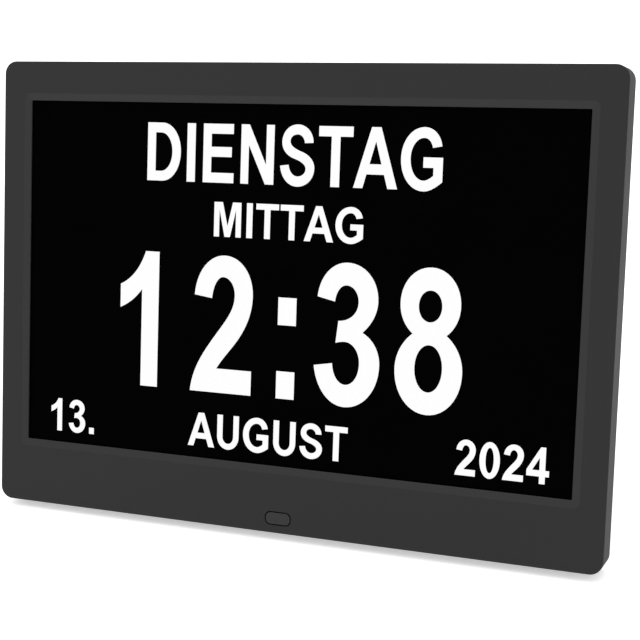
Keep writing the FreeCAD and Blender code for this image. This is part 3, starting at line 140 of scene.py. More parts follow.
plastic = {"IOR": 1.5, "Specular IOR Level": 0.5}
metal = {"Metallic": 1.0}
finishes = {
    # black ABS from a spark-eroded mould: an even charcoal with a fine dry grain and a soft grazing sheen
    "case_plastic": ("mouldedBlackAbs", {
        "colour": "#1f1f20", "drifted": "#212122", "driftMm": 60, "grainMm": 0.45, "speck": 0.06,
        "rough": 0.66, "bump": 0.25, "reliefMm": 0.03, "shader": {"IOR": 1.5, "Specular IOR Level": 0.2}}),
    # ABS keys from a finer mould: a shade darker and smoother than the case
    "key_plastic": ("satinMouldedAbs", {
        "colour": "#1c1c1e", "drifted": "#212123", "driftMm": 12, "grainMm": 0.3, "speck": 0.04,
        "rough": 0.42, "bump": 0.15, "reliefMm": 0.02, "shader": {"IOR": 1.5, "Specular IOR Level": 0.3}}),
    # the leg, black ABS with the case's grain, a little greyer where hands rub it
    "stand_plastic": ("mouldedBlackAbsStand", {
        "colour": "#222223", "drifted": "#29292a", "driftMm": 25, "grainMm": 0.45, "speck": 0.06,
        "rough": 0.56, "bump": 0.3, "reliefMm": 0.03, "shader": {"IOR": 1.5, "Specular IOR Level": 0.25}}),
    # smoked polycarbonate, polished: a dark window with a clear gloss
    "smoked_window": ("smokedPolycarbonate", {
        "colour": "#212123", "drifted": "#252527", "driftMm": 6, "grainMm": 0.8, "speck": 0.02,
        "rough": 0.3, "bump": 0.02, "reliefMm": 0.01, "shader": {"IOR": 1.5, "Specular IOR Level": 0.22}}),
    # nitrile rubber feet, pressed: dead matt black with a chalky bloom
    "black_rubber": ("pressedNitrileRubber", {
        "colour": "#161617", "drifted": "#232324", "driftMm": 9, "grainMm": 0.5, "speck": 0.12,
        "rough": 0.82, "bump": 0.4, "reliefMm": 0.04, "shader": {"IOR": 1.52, "Specular IOR Level": 0.3}}),
    # steel screws under black zinc: dark, slightly blue, with a dull metallic glint
    "screw_steel": ("blackZincSteel", {
        "colour": "#3b3c40", "drifted": "#55575c", "driftMm": 2, "grainMm": 0.25, "speck": 0.1,
        "rough": 0.4, "bump": 0.2, "reliefMm": 0.02, "shader": metal}),
    # bright drawn steel: lines along its length
    "plain_steel": ("drawnBrightSteel", {
        "colour": "#b4b5b8", "drifted": "#9fa1a5", "driftMm": 5, "grainMm": 0.3, "speck": 0.08,
        "rough": 0.3, "bump": 0.15, "reliefMm": 0.02, "stretch": (0.05, 1, 1), "shader": metal}),
    # rolled galvanised sheet: pale grey with lines of rolling
    "tray_steel": ("rolledGalvanisedSheet", {
        "colour": "#b9bcbe", "drifted": "#a4a8ab", "driftMm": 15, "grainMm": 0.5, "speck": 0.08,
        "rough": 0.42, "bump": 0.2, "reliefMm": 0.02, "stretch": (0.08, 1, 1), "shader": metal}),
    # white polycarbonate frame, moulded
    "frame_plastic": ("mouldedWhitePolycarbonate", {
        "colour": "#e4e4de", "drifted": "#d9d9d2", "driftMm": 30, "grainMm": 0.5, "speck": 0.02,
        "rough": 0.5, "bump": 0.1, "reliefMm": 0.02, "shader": plastic}),
    # closed-cell foam strip, die cut: black and open-grained
    "foam": ("dieCutFoam", {
        "colour": "#1c1c1d", "drifted": "#262627", "driftMm": 4, "grainMm": 0.35, "speck": 0.3,
        "rough": 0.95, "bump": 0.8, "reliefMm": 0.1, "shader": {"Specular IOR Level": 0.2}}),
    # cast acrylic light guide: nearly clear, faintly blue at the edge
    "acrylic": ("castAcrylic", {
        "colour": "#e6eef2", "drifted": "#dbe6ec", "driftMm": 20, "grainMm": 1.5, "speck": 0.01,
        "rough": 0.12, "bump": 0.05, "reliefMm": 0.01, "shader": {"IOR": 1.49, "Transmission Weight": 0.6}}),
    # polyester optical film: satin white
    "film": ("calenderedPolyesterFilm", {
        "colour": "#eeeeec", "drifted": "#e4e4e2", "driftMm": 25, "grainMm": 0.3, "speck": 0.01,
        "rough": 0.35, "bump": 0.1, "reliefMm": 0.01, "shader": {"IOR": 1.6}}),
    # epoxy chip bodies, transfer moulded: near black with a dry grain
    "chip_resin": ("transferMouldedEpoxy", {
        "colour": "#1d1e20", "drifted": "#26272a", "driftMm": 5, "grainMm": 0.2, "speck": 0.12,
        "rough": 0.6, "bump": 0.25, "reliefMm": 0.02, "shader": plastic}),
    # deep-drawn aluminium cans
    "component_metal": ("drawnAluminiumCan", {
        "colour": "#c0c1c4", "drifted": "#a9abaf", "driftMm": 3, "grainMm": 0.25, "speck": 0.06,
        "rough": 0.35, "bump": 0.15, "reliefMm": 0.02, "stretch": (1, 1, 0.1), "shader": metal}),
    # sintered ferrite: dark grey, gritty
    "ferrite": ("sinteredFerrite", {
        "colour": "#2c2c2f", "drifted": "#3a3a3d", "driftMm": 4, "grainMm": 0.3, "speck": 0.2,
        "rough": 0.7, "bump": 0.4, "reliefMm": 0.03, "shader": {"IOR": 2.2}}),
    # pressed paper cone: black fibres
    "speaker_paper": ("pressedPaperCone", {
        "colour": "#1e1d1c", "drifted": "#2c2a28", "driftMm": 3, "grainMm": 0.5, "speck": 0.25,
        "rough": 0.9, "bump": 0.6, "reliefMm": 0.06, "stretch": (1, 1, 0.3), "shader": {"IOR": 1.5}}),
    # extruded PVC on the wires
    "wire_cover": ("extrudedRedPvc", {
        "colour": "#9c2420", "drifted": "#86201d", "driftMm": 8, "grainMm": 0.4, "speck": 0.04,
        "rough": 0.42, "bump": 0.1, "reliefMm": 0.02, "shader": plastic}),
    # polyester label stock, left blank: a satin silver grey
    "label_film": ("satinPolyesterLabel", {
        "colour": "#9b9da0", "drifted": "#a5a7aa", "driftMm": 18, "grainMm": 0.25, "speck": 0.03,
        "rough": 0.38, "bump": 0.08, "reliefMm": 0.01, "stretch": (0.2, 1, 1),
        "shader": {"IOR": 1.6, "Metallic": 0.3}}),
    # nylon plungers
    "plunger_plastic": ("mouldedNylon", {
        "colour": "#4d4d50", "drifted": "#5a5a5d", "driftMm": 3, "grainMm": 0.3, "speck": 0.04,
        "rough": 0.5, "bump": 0.15, "reliefMm": 0.02, "shader": plastic}),
}
materials = {slot: grained(*look) for slot, look in finishes.items()}
# the lip round the display: a smoother, polished part of the mould, its lighter colour a painted highlight
lipPaintedLighterPlastic = grained("smoothBlackAbsPaintedLighter", {
    "colour": "#232324", "drifted": "#252526", "driftMm": 60, "grainMm": 0.6, "speck": 0.02, "rough": 0.5,
    "bump": 0.1, "reliefMm": 0.01, "shader": {"IOR": 1.5, "Specular IOR Level": 0.2}})


def antiGlareGlass(look):
    # display glass, etched matt and unlit: near black, with a faint soft gloss that its etching breaks up
    material, tree, place = newMaterial("etchedDisplayGlass")
    etching = addNode(tree, "ShaderNodeTexNoise", {"Scale": perMetre(look["etchMm"]), "Detail": 2.0},
                      {"Vector": place})
    smear = addNode(tree, "ShaderNodeTexNoise", {"Scale": perMetre(look["smearMm"]), "Detail": 4.0},
                    {"Vector": place})
    rough = addNode(tree, "ShaderNodeMapRange",
                    {"To Min": look["rough"] - look["smearSpread"],
                     "To Max": look["rough"] + look["smearSpread"]}, {"Value": smear.outputs[0]})
    colour = addNode(tree, "ShaderNodeMix",
                     {"data_type": "RGBA", 6: linear(look["colour"]), 7: linear(look["drifted"])},
                     {0: smear.outputs[0]})
    bump = addNode(tree, "ShaderNodeBump", {"Strength": 0.1, "Distance": look["reliefMm"] * mm},
                   {"Height": etching.outputs[0]})
    shader = addNode(tree, "ShaderNodeBsdfPrincipled", {"Specular IOR Level": look["gloss"], "IOR": 1.5},
                     {"Base Color": colour.outputs[2], "Roughness": rough.outputs[0],
                      "Normal": bump.outputs[0]})
    return finish(material, tree, shader)


def litPixels(look):
    # the white pixels of the display: lit squares of one pixel's pitch with the thin grid between them
    material, tree, place = newMaterial("litDisplayPixels")
    turned = addNode(tree, "ShaderNodeMapping", {"Rotation": (math.radians(90 + caseSeat["lean"]), 0, 0)},
                     {"Vector": place})
    grid = addNode(tree, "ShaderNodeTexBrick", {
        "offset": 0.0, "squash": 1.0, "Scale": 1.0, "Mortar Size": look["gridMm"] * mm,
        "Mortar Smooth": 0.4, "Brick Width": look["pitchMm"] * mm, "Row Height": look["pitchMm"] * mm,
        "Color1": (1, 1, 1, 1), "Color2": (0.97, 0.97, 0.97, 1), "Mortar": (0.8, 0.8, 0.8, 1)},
        {"Vector": turned.outputs[0]})
    shader = addNode(tree, "ShaderNodeEmission", {"Strength": look["strength"]},
                     {"Color": grid.outputs[0]})
    return finish(material, tree, shader)


def circuitBoard(look):
    # glass-epoxy board under green solder mask: tracks show as raised, lighter runs, with round pads between
    material, tree, place = newMaterial("solderMaskedGlassEpoxy")
    runs = addNode(tree, "ShaderNodeTexWave", {
        "Scale": perMetre(look["trackMm"]) * waveLength, "Distortion": 6.0, "Detail": 1.0,
        "Detail Scale": 0.4, "bands_direction": "DIAGONAL"}, {"Vector": place})
    cells = addNode(tree, "ShaderNodeTexVoronoi", {"Scale": perMetre(look["padMm"]), "Randomness": 0.6},
                    {"Vector": place})
    track = addNode(tree, "ShaderNodeMapRange", {"From Min": 0.55, "From Max": 0.65},
                    {"Value": runs.outputs[1]})
    pad = addNode(tree, "ShaderNodeMapRange", {"From Min": 0.22, "From Max": 0.18},
                  {"Value": cells.outputs[0]})
    mask = addNode(tree, "ShaderNodeMix",
                   {"data_type": "RGBA", 6: linear(look["bare"]), 7: linear(look["track"])},
                   {0: track.outputs[0]})
    colour = addNode(tree, "ShaderNodeMix", {"data_type": "RGBA", 7: linear(look["pad"])},
                     {0: pad.outputs[0], 6: mask.outputs[2]})
    bump = addNode(tree, "ShaderNodeBump", {"Strength": 0.4, "Distance": look["copperMm"] * mm},
                   {"Height": track.outputs[0]})
    shader = addNode(tree, "ShaderNodeBsdfPrincipled", {"IOR": 1.55, "Roughness": 0.32},
                     {"Base Color": colour.outputs[2], "Normal": bump.outputs[0]})
    return finish(material, tree, shader)


def ribbonCable(look):
    # flat flexible cable: white polyester with the conductors showing as fine grey lines along it
    material, tree, place = newMaterial("laminatedRibbonCable")
    lines = addNode(tree, "ShaderNodeTexWave",
                    {"Scale": perMetre(look["pitchMm"]) * waveLength, "bands_direction": "X"},
                    {"Vector": place})
    core = addNode(tree, "ShaderNodeMapRange", {"From Min": 0.4, "From Max": 0.6},
                   {"Value": lines.outputs[1]})
    colour = addNode(tree, "ShaderNodeMix",
                     {"data_type": "RGBA", 6: linear(look["film"]), 7: linear(look["core"])},
                     {0: core.outputs[0]})
    bump = addNode(tree, "ShaderNodeBump", {"Strength": 0.5, "Distance": look["copperMm"] * mm},
                   {"Height": core.outputs[0]})
    shader = addNode(tree, "ShaderNodeBsdfPrincipled", {"IOR": 1.57, "Roughness": 0.36},
                     {"Base Color": colour.outputs[2], "Normal": bump.outputs[0]})
    return finish(material, tree, shader)


materials["display_face"] = antiGlareGlass({
    "colour": "#010101", "drifted": "#020202", "etchMm": 0.3, "smearMm": 35, "smearSpread": 0.05,
    "rough": 0.35, "gloss": 0.004, "reliefMm": 0.005})
materials["circuit_board"] = circuitBoard({
    "bare": "#0c4a2b", "track": "#17663d", "pad": "#b9a15c", "trackMm": 2.3663, "padMm": 2.6,
    "copperMm": 0.035})
materials["ribbon_film"] = ribbonCable({
    "film": "#dcdcd6", "core": "#9a9c9f", "pitchMm": 1.9719, "copperMm": 0.04})
lit = litPixels({"pitchMm": 0.217, "gridMm": 0.02, "strength": 1.06})
# pad-printed marks on the keys: a thin pale film that shows the mould's grain under it
ink = grained("padPrintedInk", {
    "colour": "#b9babc", "drifted": "#aeb0b2", "driftMm": 3, "grainMm": 0.3, "speck": 0.05, "rough": 0.5,
    "bump": 0.15, "reliefMm": 0.02, "shader": plastic})
# the stick socket's contacts: bronze strip with a flash of gold
contactMetal = grained("goldFlashedBronze", {
    "colour": "#d6b46a", "drifted": "#c8a45a", "driftMm": 1.5, "grainMm": 0.2, "speck": 0.06, "rough": 0.28,
    "bump": 0.1, "reliefMm": 0.01, "shader": metal})
print("materials made:", len(bpy.data.materials))

slotOf = {}
for entry in frame["record"]["materials"]:
    for name in entry.get("nodes", []):
        slotOf[name] = entry["slot"]
for name, node in nodes.items():
    slot = node.material_slots[0].material.name.split(".")[0] if node.material_slots else None
    slotOf.setdefault(name, slot)
    for held in node.material_slots:
        held.material = materials[slotOf[name]]
print("CAD nodes dressed:", len(nodes))


def place(piece, body, slot, *replaced):
    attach(piece, body)
    if replaced:
        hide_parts(*replaced)
    return piece


def newPiece(name, points, faces, material, smooth=False):
    # puts whole arrays of corners and faces into one mesh at the origin
    mesh = bpy.data.meshes.new(name)
    mesh.from_pydata(np.asarray(points).tolist(), [], [list(face) for face in faces])
    mesh.polygons.foreach_set("use_smooth", [smooth] * len(mesh.polygons))
    mesh.materials.append(material)
    mesh.update()
    piece = bpy.data.objects.new(name, mesh)
    scene.collection.objects.link(piece)
    return piece


def settled(piece, sharp):
    # the piece's modifiers made real, with edges sharper than this many degrees kept crisp
    bpy.context.view_layer.update()
    made = bpy.data.meshes.new_from_object(piece.evaluated_get(bpy.context.evaluated_depsgraph_get()))
    piece.modifiers.clear()
    piece.data = made
    made.set_sharp_from_angle(angle=math.radians(sharp))
    return piece


def softened(node, name, edge, segments=3, angle=25):
    # a merged copy of a CAD node, its flat triangles joined again and its sharp edges rolled over
    mesh = nodes[node].data.copy()
    mesh.name = name
    held = bmesh.new()
    held.from_mesh(mesh)
    bmesh.ops.remove_doubles(held, verts=held.verts, dist=1e-7)
    bmesh.ops.dissolve_limit(held, angle_limit=math.radians(0.5), verts=held.verts, edges=held.edges)
    for face in held.faces:
        face.smooth = True
    held.to_mesh(mesh)
    held.free()
    piece = bpy.data.objects.new(name, mesh)
    scene.collection.objects.link(piece)
    rolled = piece.modifiers.new("rolled edges", "BEVEL")
    rolled.width = edge * mm
    rolled.segments = segments
    rolled.limit_method = "ANGLE"
    rolled.angle_limit = math.radians(angle)
    rolled.use_clamp_overlap = True
    # flat faces keep their own direction, so only the rolled edges and the round faces shade softly
    weighed = piece.modifiers.new("flat faces first", "WEIGHTED_NORMAL")
    weighed.mode = "FACE_AREA"
    weighed.weight = 100
    weighed.keep_sharp = True
    return piece


def ringOf(width, height, middle, corner, arc=10):
    # a rounded rectangle seen from the front, as points across and up: each corner is a quarter circle
    turn = np.linspace(0, np.pi / 2, arc + 1)
    quarters = np.arange(4)[:, None] * np.pi / 2 + turn[None]
    right = np.where(np.arange(4) % 3 == 0, 1, -1)[:, None]
    above = np.where(np.arange(4) < 2, 1, -1)[:, None]
    across = right * (width / 2 - corner) + corner * np.cos(quarters)
    up = middle + above * (height / 2 - corner) + corner * np.sin(quarters)
    return np.stack([across.ravel(), up.ravel()], axis=1)


def ringed(name, rings, zones):
    # a closed shell: every ring is joined to the next point by point, and the last to the first
    count = len(rings[0][1])
    points = [np.stack([ring[:, 0], np.full(count, depth), ring[:, 1]], axis=1) for depth, ring in rings]
    rows, columns = np.meshgrid(np.arange(len(rings)), np.arange(count), indexing="ij")
    along, around = (rows + 1) % len(rings), (columns + 1) % count
    faces = np.stack([rows * count + columns, rows * count + around, along * count + around,
                      along * count + columns], axis=-1).reshape(-1, 4)
    piece = newPiece(name, inRow(np.concatenate(points)), faces, zones[0], smooth=True)
    for extra in zones[1:]:
        piece.data.materials.append(extra)
    return piece, rows.ravel()


# Pieces whose shape the CAD already gives: the same shape with its edges rolled over as a mould leaves them
edges = {
    "rear_cover": ("back_moulding", "case", 0.25),
    "stand_leg": ("leg_moulding", "stand", 0.35),
    "stand_boot": ("leg_boot", "stand", 0.5),
    "case_feet": ("rubber_feet", "case", 0.4),
    "ir_window": ("receiver_window", "case", 0.15),
    "power_jack": ("power_jack_body", "case", 0.12),
    "usb_socket": ("usb_socket_body", "case", 0.1),
    "card_socket": ("card_socket_body", "case", 0.1),
    "cover_screws": ("cover_screw_set", "case", 0.08),
}
for node, (name, body, edge) in edges.items():
    place(softened(node, name, edge), body, slotOf[node], node)
for key in ("power", "menu", "up", "down", "enter", "exit"):
    place(softened(f"{key}_key", f"{key}_cap", 0.25), f"{key}_button", "key_plastic", f"{key}_key")
print("mouldings softened")

memorySocket = {
    "mouth": 10.0,  # how far the mouth goes in
    "tongueFrom": 1.0, "tongueThick": 1.8, "tongueWide": 10.6, "tongueLong": 8.4,
    "cover": 0.04,  # what the moulded tongue stands proud of the solid under it
    "contactWide": 1.1, "contactLong": 6.8, "contactThick": 0.1, "contactApart": 2.3,
    "contactFrom": 0.6,  # where a contact starts, out from the mouth's back
    "contactSunk": 0.05,
    "tongueRound": 0.25, "contactRound": 0.04,
}


def inCase(points):
    # metres in the row back to case millimetres
    x, y, z = np.asarray(points, float).reshape(-1, 3).T / mm
    lean = math.radians(caseSeat["lean"])
    y, z = y - caseSeat["forward"], z - caseSeat["raise"]
    back = y * math.cos(lean) - z * math.sin(lean)
    up = y * math.sin(lean) + z * math.cos(lean)
    return np.stack([x, back, up], axis=1)


def blocks(name, spans, material, soft):
    # boxes between pairs of corners in case millimetres, as one piece with its edges rolled over
    unit = np.array([(x, y, z) for x in (0, 1) for y in (0, 1) for z in (0, 1)])
    sides = np.array([(0, 1, 3, 2), (4, 6, 7, 5), (0, 4, 5, 1), (2, 3, 7, 6), (0, 2, 6, 4), (1, 5, 7, 3)])
    points = [np.array(low) + unit * (np.array(high) - np.array(low)) for low, high in spans]
    faces = np.concatenate([sides + len(unit) * which for which in range(len(spans))])
    piece = newPiece(name, inRow(np.concatenate(points)), faces, material, smooth=True)
    rolled = piece.modifiers.new("rolled edges", "BEVEL")
    rolled.width = soft * mm
    rolled.segments = 2
    return settled(piece, 50)


def fillSocket(look):
    # the tongue in the memory stick's socket, moulded over its contacts, which lie along its free side
    mesh = nodes["usb_socket"].data
    corners = np.zeros(len(mesh.vertices) * 3)
    mesh.vertices.foreach_get("co", corners)
    corners = inCase(corners)
    face, board = corners[:, 0].max(), corners[:, 1].min()
    middle = (corners[:, 2].min() + corners[:, 2].max()) / 2
    back, cover = face - look["mouth"], look["cover"]
    free = board + look["tongueFrom"] + look["tongueThick"] + cover
    half = look["tongueWide"] / 2 + cover
    tongue = [((back, board + look["tongueFrom"] - cover, middle - half),
               (back + look["tongueLong"] + cover, free, middle + half))]
    skin = blocks("usb_tongue", tongue, materials["chip_resin"], look["tongueRound"])
    place(skin, "case", "chip_resin")
    strips = []
    start = back + look["contactFrom"]
    for step in (-1.5, -0.5, 0.5, 1.5):
        at, reach = middle + step * look["contactApart"], look["contactWide"] / 2
        strips.append(((start, free - look["contactSunk"], at - reach),
                       (start + look["contactLong"], free + look["contactThick"], at + reach)))
    contacts = blocks("usb_contacts", strips, contactMetal, look["contactRound"])
    place(contacts, "case", "component_metal")


fillSocket(memorySocket)
print("socket filled")

frontMoulding = {
    "width": 246.0, "height": 176.4, "middle": 88.2, "corner": 5.0, "depth": 13.2, "edge": 0.55,
    "windowWidth": 221.6, "windowHeight": 135.6, "windowMiddle": 93.4, "windowCorner": 0.4,
    "lipWidth": 2.8, "lipDepth": 0.7, "lipCorner": 2.0, "lipSoft": 0.4,
    "web": 1.3, "seatWidth": 230.7, "seatHeight": 150.4, "seatCorner": 0.2, "thick": 2.2, "wall": 2.0,
    "backEdge": 0.25, "leastCorner": 0.3,
    "pillWidth": 10.6, "pillHeight": 5.25, "pillUp": 5.7, "pillCorner": 2.2, "pillChamfer": 0.12,
    "hold": 0.3,  # a ring this far past each rounded edge keeps the face beside it flat
    "backHold": 0.2,
    "lipRings": (0.35, 0.12),  # the last rings of the slope, out from the display's window
    "lipTurn": ((0.06, 0.02), (0.16, 0)),  # how it turns into the window's wall: deeper by, wider by
    "cutterFront": 0.5, "cutterBack": 1.0,  # how far the hole's cutter stands out of the moulding
}


def makeFrontMoulding(look):
    # the closed profile runs from the back of the side wall over the rounded front edge, across the flat
    # face, down the soft-shouldered lip to the display and back along the inside; each point is one ring
    def outer(inset):
        return ringOf(look["width"] - 2 * inset, look["height"] - 2 * inset, look["middle"],
                      max(look["corner"] - inset, look["leastCorner"]))

    def window(grow, corner):
        return ringOf(look["windowWidth"] + 2 * grow, look["windowHeight"] + 2 * grow,
                      look["windowMiddle"], corner)

    edge, back, soft = look["edge"], look["backEdge"], look["lipSoft"]
    hold, backHold, deep = look["hold"], look["backHold"], look["depth"]
    rings = [(deep, outer(back + backHold)), (deep, outer(back))]
    for turn in np.linspace(0.25, 1, 4) * np.pi / 2:
        rings.append((deep - back * (1 - math.cos(turn)), outer(back * (1 - math.sin(turn)))))
    rings.append((deep - back - backHold, outer(0)))
    rings.append((edge + hold, outer(0)))
    for turn in np.linspace(0, 1, 7) * np.pi / 2:
        rings.append((edge * (1 - math.sin(turn)), outer(edge * (1 - math.cos(turn)))))
    rings.append((0, outer(edge + hold)))
    lipTop = len(rings)
    slope = look["lipDepth"] / look["lipWidth"]
    rings.append((0, window(look["lipWidth"] + soft + hold, look["lipCorner"] + 2 * hold)))
    for share in np.linspace(-1, 1, 5):
        fall = slope * soft * (share + 1) ** 2 / 4
        rings.append((fall, window(look["lipWidth"] - soft * share, look["lipCorner"] + hold - hold * share)))
    for grow in look["lipRings"]:
        rings.append((look["lipDepth"] - slope * grow, window(grow, look["windowCorner"] + grow / 2)))
    for deeper, wider in look["lipTurn"]:
        rings.append((look["lipDepth"] + deeper, window(wider, look["windowCorner"])))
    lipEnd = len(rings) - 1
    rings.append((look["web"], window(0, look["windowCorner"])))
    seat = ringOf(look["seatWidth"], look["seatHeight"], look["windowMiddle"], look["seatCorner"])
    inner = outer(look["wall"])
    rings += [(look["web"], seat), (look["thick"], seat), (look["thick"], inner), (deep, inner)]
    piece, rows = ringed("front_moulding", rings, [materials["case_plastic"], lipPaintedLighterPlastic])
    # the slope below its rounded shoulder is the polished part, and takes the painted highlight of a lighter
    # colour
    zone = ((rows > lipTop + 2) & (rows < lipEnd)).astype(np.int32)
    piece.data.polygons.foreach_set("material_index", zone)
    return piece


def pillCutter(look):
    # a rod through the moulding that flares at 45 degrees in front, which leaves the hole's edge broken
    rings = []
    for depth in (-look["cutterFront"], look["pillChamfer"], look["thick"] + look["cutterBack"]):
        grow = max(look["pillChamfer"] - depth, 0)
        ring = ringOf(look["pillWidth"] + 2 * grow, look["pillHeight"] + 2 * grow, look["pillUp"],
                      look["pillCorner"] + grow)
        rings.append(np.stack([ring[:, 0], np.full(len(ring), depth), ring[:, 1]], axis=1))
    count = len(rings[0])
    step = np.arange(count)
    onward = (step + 1) % count
    wall = np.stack([step, onward, count + onward, count + step], axis=1)
    walls = wall.tolist() + (wall + count).tolist()
    caps = [step[::-1].tolist(), (2 * count + step).tolist()]
    return newPiece("pill_cutter", inRow(np.concatenate(rings)), walls + caps, materials["case_plastic"])


front = makeFrontMoulding(frontMoulding)
cutter = pillCutter(frontMoulding)
for held in (front, cutter):
    facing = bmesh.new()
    facing.from_mesh(held.data)
    bmesh.ops.recalc_face_normals(facing, faces=facing.faces)
    facing.to_mesh(held.data)
    facing.free()
hole = front.modifiers.new("pill hole", "BOOLEAN")
hole.operation = "DIFFERENCE"
hole.solver = "EXACT"
hole.object = cutter
place(settled(front, 30), "case", "case_plastic", "front_frame")
bpy.data.objects.remove(cutter)
print("front moulding made:", len(front.data.polygons), "faces")

# Own bold letters, drawn on a grid where a capital is 716 high. A point is x, y and the way the outline
# runs there in degrees, or the ways it arrives and leaves; a side is curved where both of its ends have one.
letters = {
    "D": (722, [[(73, 0), (73, 716), (338, 716, 0), (677, 362, -90), (345, 0, 180)],
                [(221, 121), (221, 595), (318, 595, 0), (524, 360, -90), (322, 121, 180)]]),
    "I": (286, [[(69, 0), (69, 716), (217, 716), (217, 0)]]),
    "E": (667, [[(73, 0), (73, 716), (604, 716), (604, 595), (218, 595), (218, 436), (577, 436), (577, 315),
                 (218, 315), (218, 121), (617, 121), (617, 0)]]),
    "N": (719, [[(73, 0), (73, 716), (214, 716), (511, 236), (511, 716), (646, 716), (646, 0), (501, 0),
                 (208, 468), (208, 0)]]),
    "S": (661, [[(36, 233, None, -83), (331, -12, 0), (617, 210, 90), (400, 405, 165), (202, 528, 90),
                 (325, 610, 0), (447, 508, -84, None), (592, 514, None, 92), (325, 728, 180), (62, 516, -90),
                 (270, 322, -14), (470, 200, -90), (333, 110, 180), (181, 247, 98, None)]]),
    "T": (611, [[(21, 595), (21, 716), (590, 716), (590, 595), (379, 595), (379, 0), (233, 0), (233, 595)]]),
    "A": (719, [[(0, 0), (279, 716), (432, 716), (719, 0), (561, 0), (499, 163), (212, 163), (153, 0)],
                [(257, 284), (354, 549), (453, 284)]]),
    "G": (771, [[(404, 262), (404, 382), (713, 382), (713, 100, None, -148), (417, -12, 180),
                 (45, 361, 90), (413, 728, 0), (693, 512, -80, None), (546, 492, None, 103),
                 (411, 604, 180), (198, 367, -90), (414, 112, 0), (567, 170, 30, None), (567, 262)]]),
    "M": (833, [[(71, 0), (71, 716), (287, 716), (417, 228), (545, 716), (762, 716), (762, 0), (628, 0),
                 (628, 564), (486, 0), (347, 0), (206, 564), (206, 0)]]),
    "U": (720, [[(72, 716), (72, 268, -90), (360, -12, 0), (648, 268, 90), (648, 716), (503, 716),
                 (503, 262, -90), (362, 112, 180), (217, 262, 90), (217, 716)]]),
    "0": (556, [[(40, 354, 90), (278, 719, 0), (516, 354, -90), (278, -12, 180)],
                [(183, 354, 90), (278, 606, 0), (373, 354, -90), (278, 101, 180)]]),
    "1": (556, [[(256, 0), (393, 0), (393, 719), (282, 719, None, -115), (79, 538, -162, None),
                 (79, 413, None, 18), (256, 517, 45, None)]]),
    "2": (556, [[(25, 0), (505, 0), (505, 127), (232, 127, None, 50), (375, 265, 44), (503, 517, 90),
                 (279, 719, 180), (48, 508, -95, None), (185, 494, None, 83), (270, 607, 0), (363, 512, -90),
                 (252, 336, -135), (25, 0, -97, None)]]),
    "3": (556, [[(37, 190, None, -80), (268, -12, 0), (512, 212, 90), (384, 372, 160, 35), (489, 534, 90),
                 (263, 719, 180), (50, 541, -97, None), (178, 520, None, 83), (259, 605, 0), (349, 522, -90),
                 (207, 424, 180, None), (191, 312, None, 10), (256, 320, 0), (367, 212, -90), (269, 102, 180),
                 (171, 207, 95, None)]]),
    "4": (556, [[(312, 0), (312, 144), (19, 144), (19, 264), (330, 719), (445, 719), (445, 265), (534, 265),
                 (534, 144), (445, 144), (445, 0)], [(312, 265), (312, 510), (148, 265)]]),
    "8": (556, [[(278, -12, 0), (518, 207, 90), (398, 388, 150, 30), (491, 536, 90), (277, 719, 180),
                 (64, 536, -90), (158, 388, -30, -150), (38, 207, -90)],
                [(277, 606, 0), (360, 528, -90), (277, 449, 180), (195, 528, 90)],
                [(278, 336, 0), (376, 220, -90), (279, 101, 180), (180, 220, 90)]]),
    ".": (278, [[(71, 0), (71, 137), (208, 137), (208, 0)]]),
    ":": (333, [[(98, 0), (98, 142), (235, 142), (235, 0)], [(98, 380), (98, 522), (235, 522), (235, 380)]]),
}
readout = {
    "capital": 716,
    "fullness": 1.02,  # 1 draws an oval, more is squarer
    "steps": 14,  # sides that one curve is drawn with
    "across": -0.3,  # the picture sits a little left of the window's middle
    "depth": 1.77,  # just in front of the glass, behind the case's front
    "thick": 0.03,
    "middle": 88.2,  # the case's middle, up from its bottom edge
}


def sideOf(start, end):
    # one side of an outline: straight, or a cubic that leaves and arrives along the ways at its two ends. Its
    # handles are 4/3 tan(turn/4) / sin(turn) of the stretch along each way, which draws a round or oval arc
    a, b = np.array(start[:2], float), np.array(end[:2], float)
    leave = start[-1] if len(start) > 2 else None
    arrive = end[2] if len(end) > 2 else None
    if leave is None or arrive is None:
        return a[None]
    turn = math.radians(min(max(abs((arrive - leave + 180) % 360 - 180), 5), 120))
    share = readout["fullness"] * 4 / 3 * math.tan(turn / 4) / math.sin(turn)
    ways = [np.array([math.cos(math.radians(way)), math.sin(math.radians(way))]) for way in (leave, arrive)]
    reach = [max(share * abs((b - a) @ way), 0.2 * np.linalg.norm(b - a)) for way in ways]
    t = np.linspace(0, 1, readout["steps"], endpoint=False)[:, None]
    near, far = a + ways[0] * reach[0], b - ways[1] * reach[1]
    return a * (1 - t) ** 3 + near * 3 * t * (1 - t) ** 2 + far * 3 * t * t * (1 - t) + b * t ** 3


def inkedText(text):
    # the outlines of a word on its grid, with the letters set side by side
    loops, across = [], 0.0
    for letter in text:
        width, outlines = letters[letter]
        for outline in outlines:
            sides = [sideOf(start, end) for start, end in zip(outline, outline[1:] + outline[:1])]
            loops.append(np.concatenate(sides) + [across, 0])
        across += width
    return loops


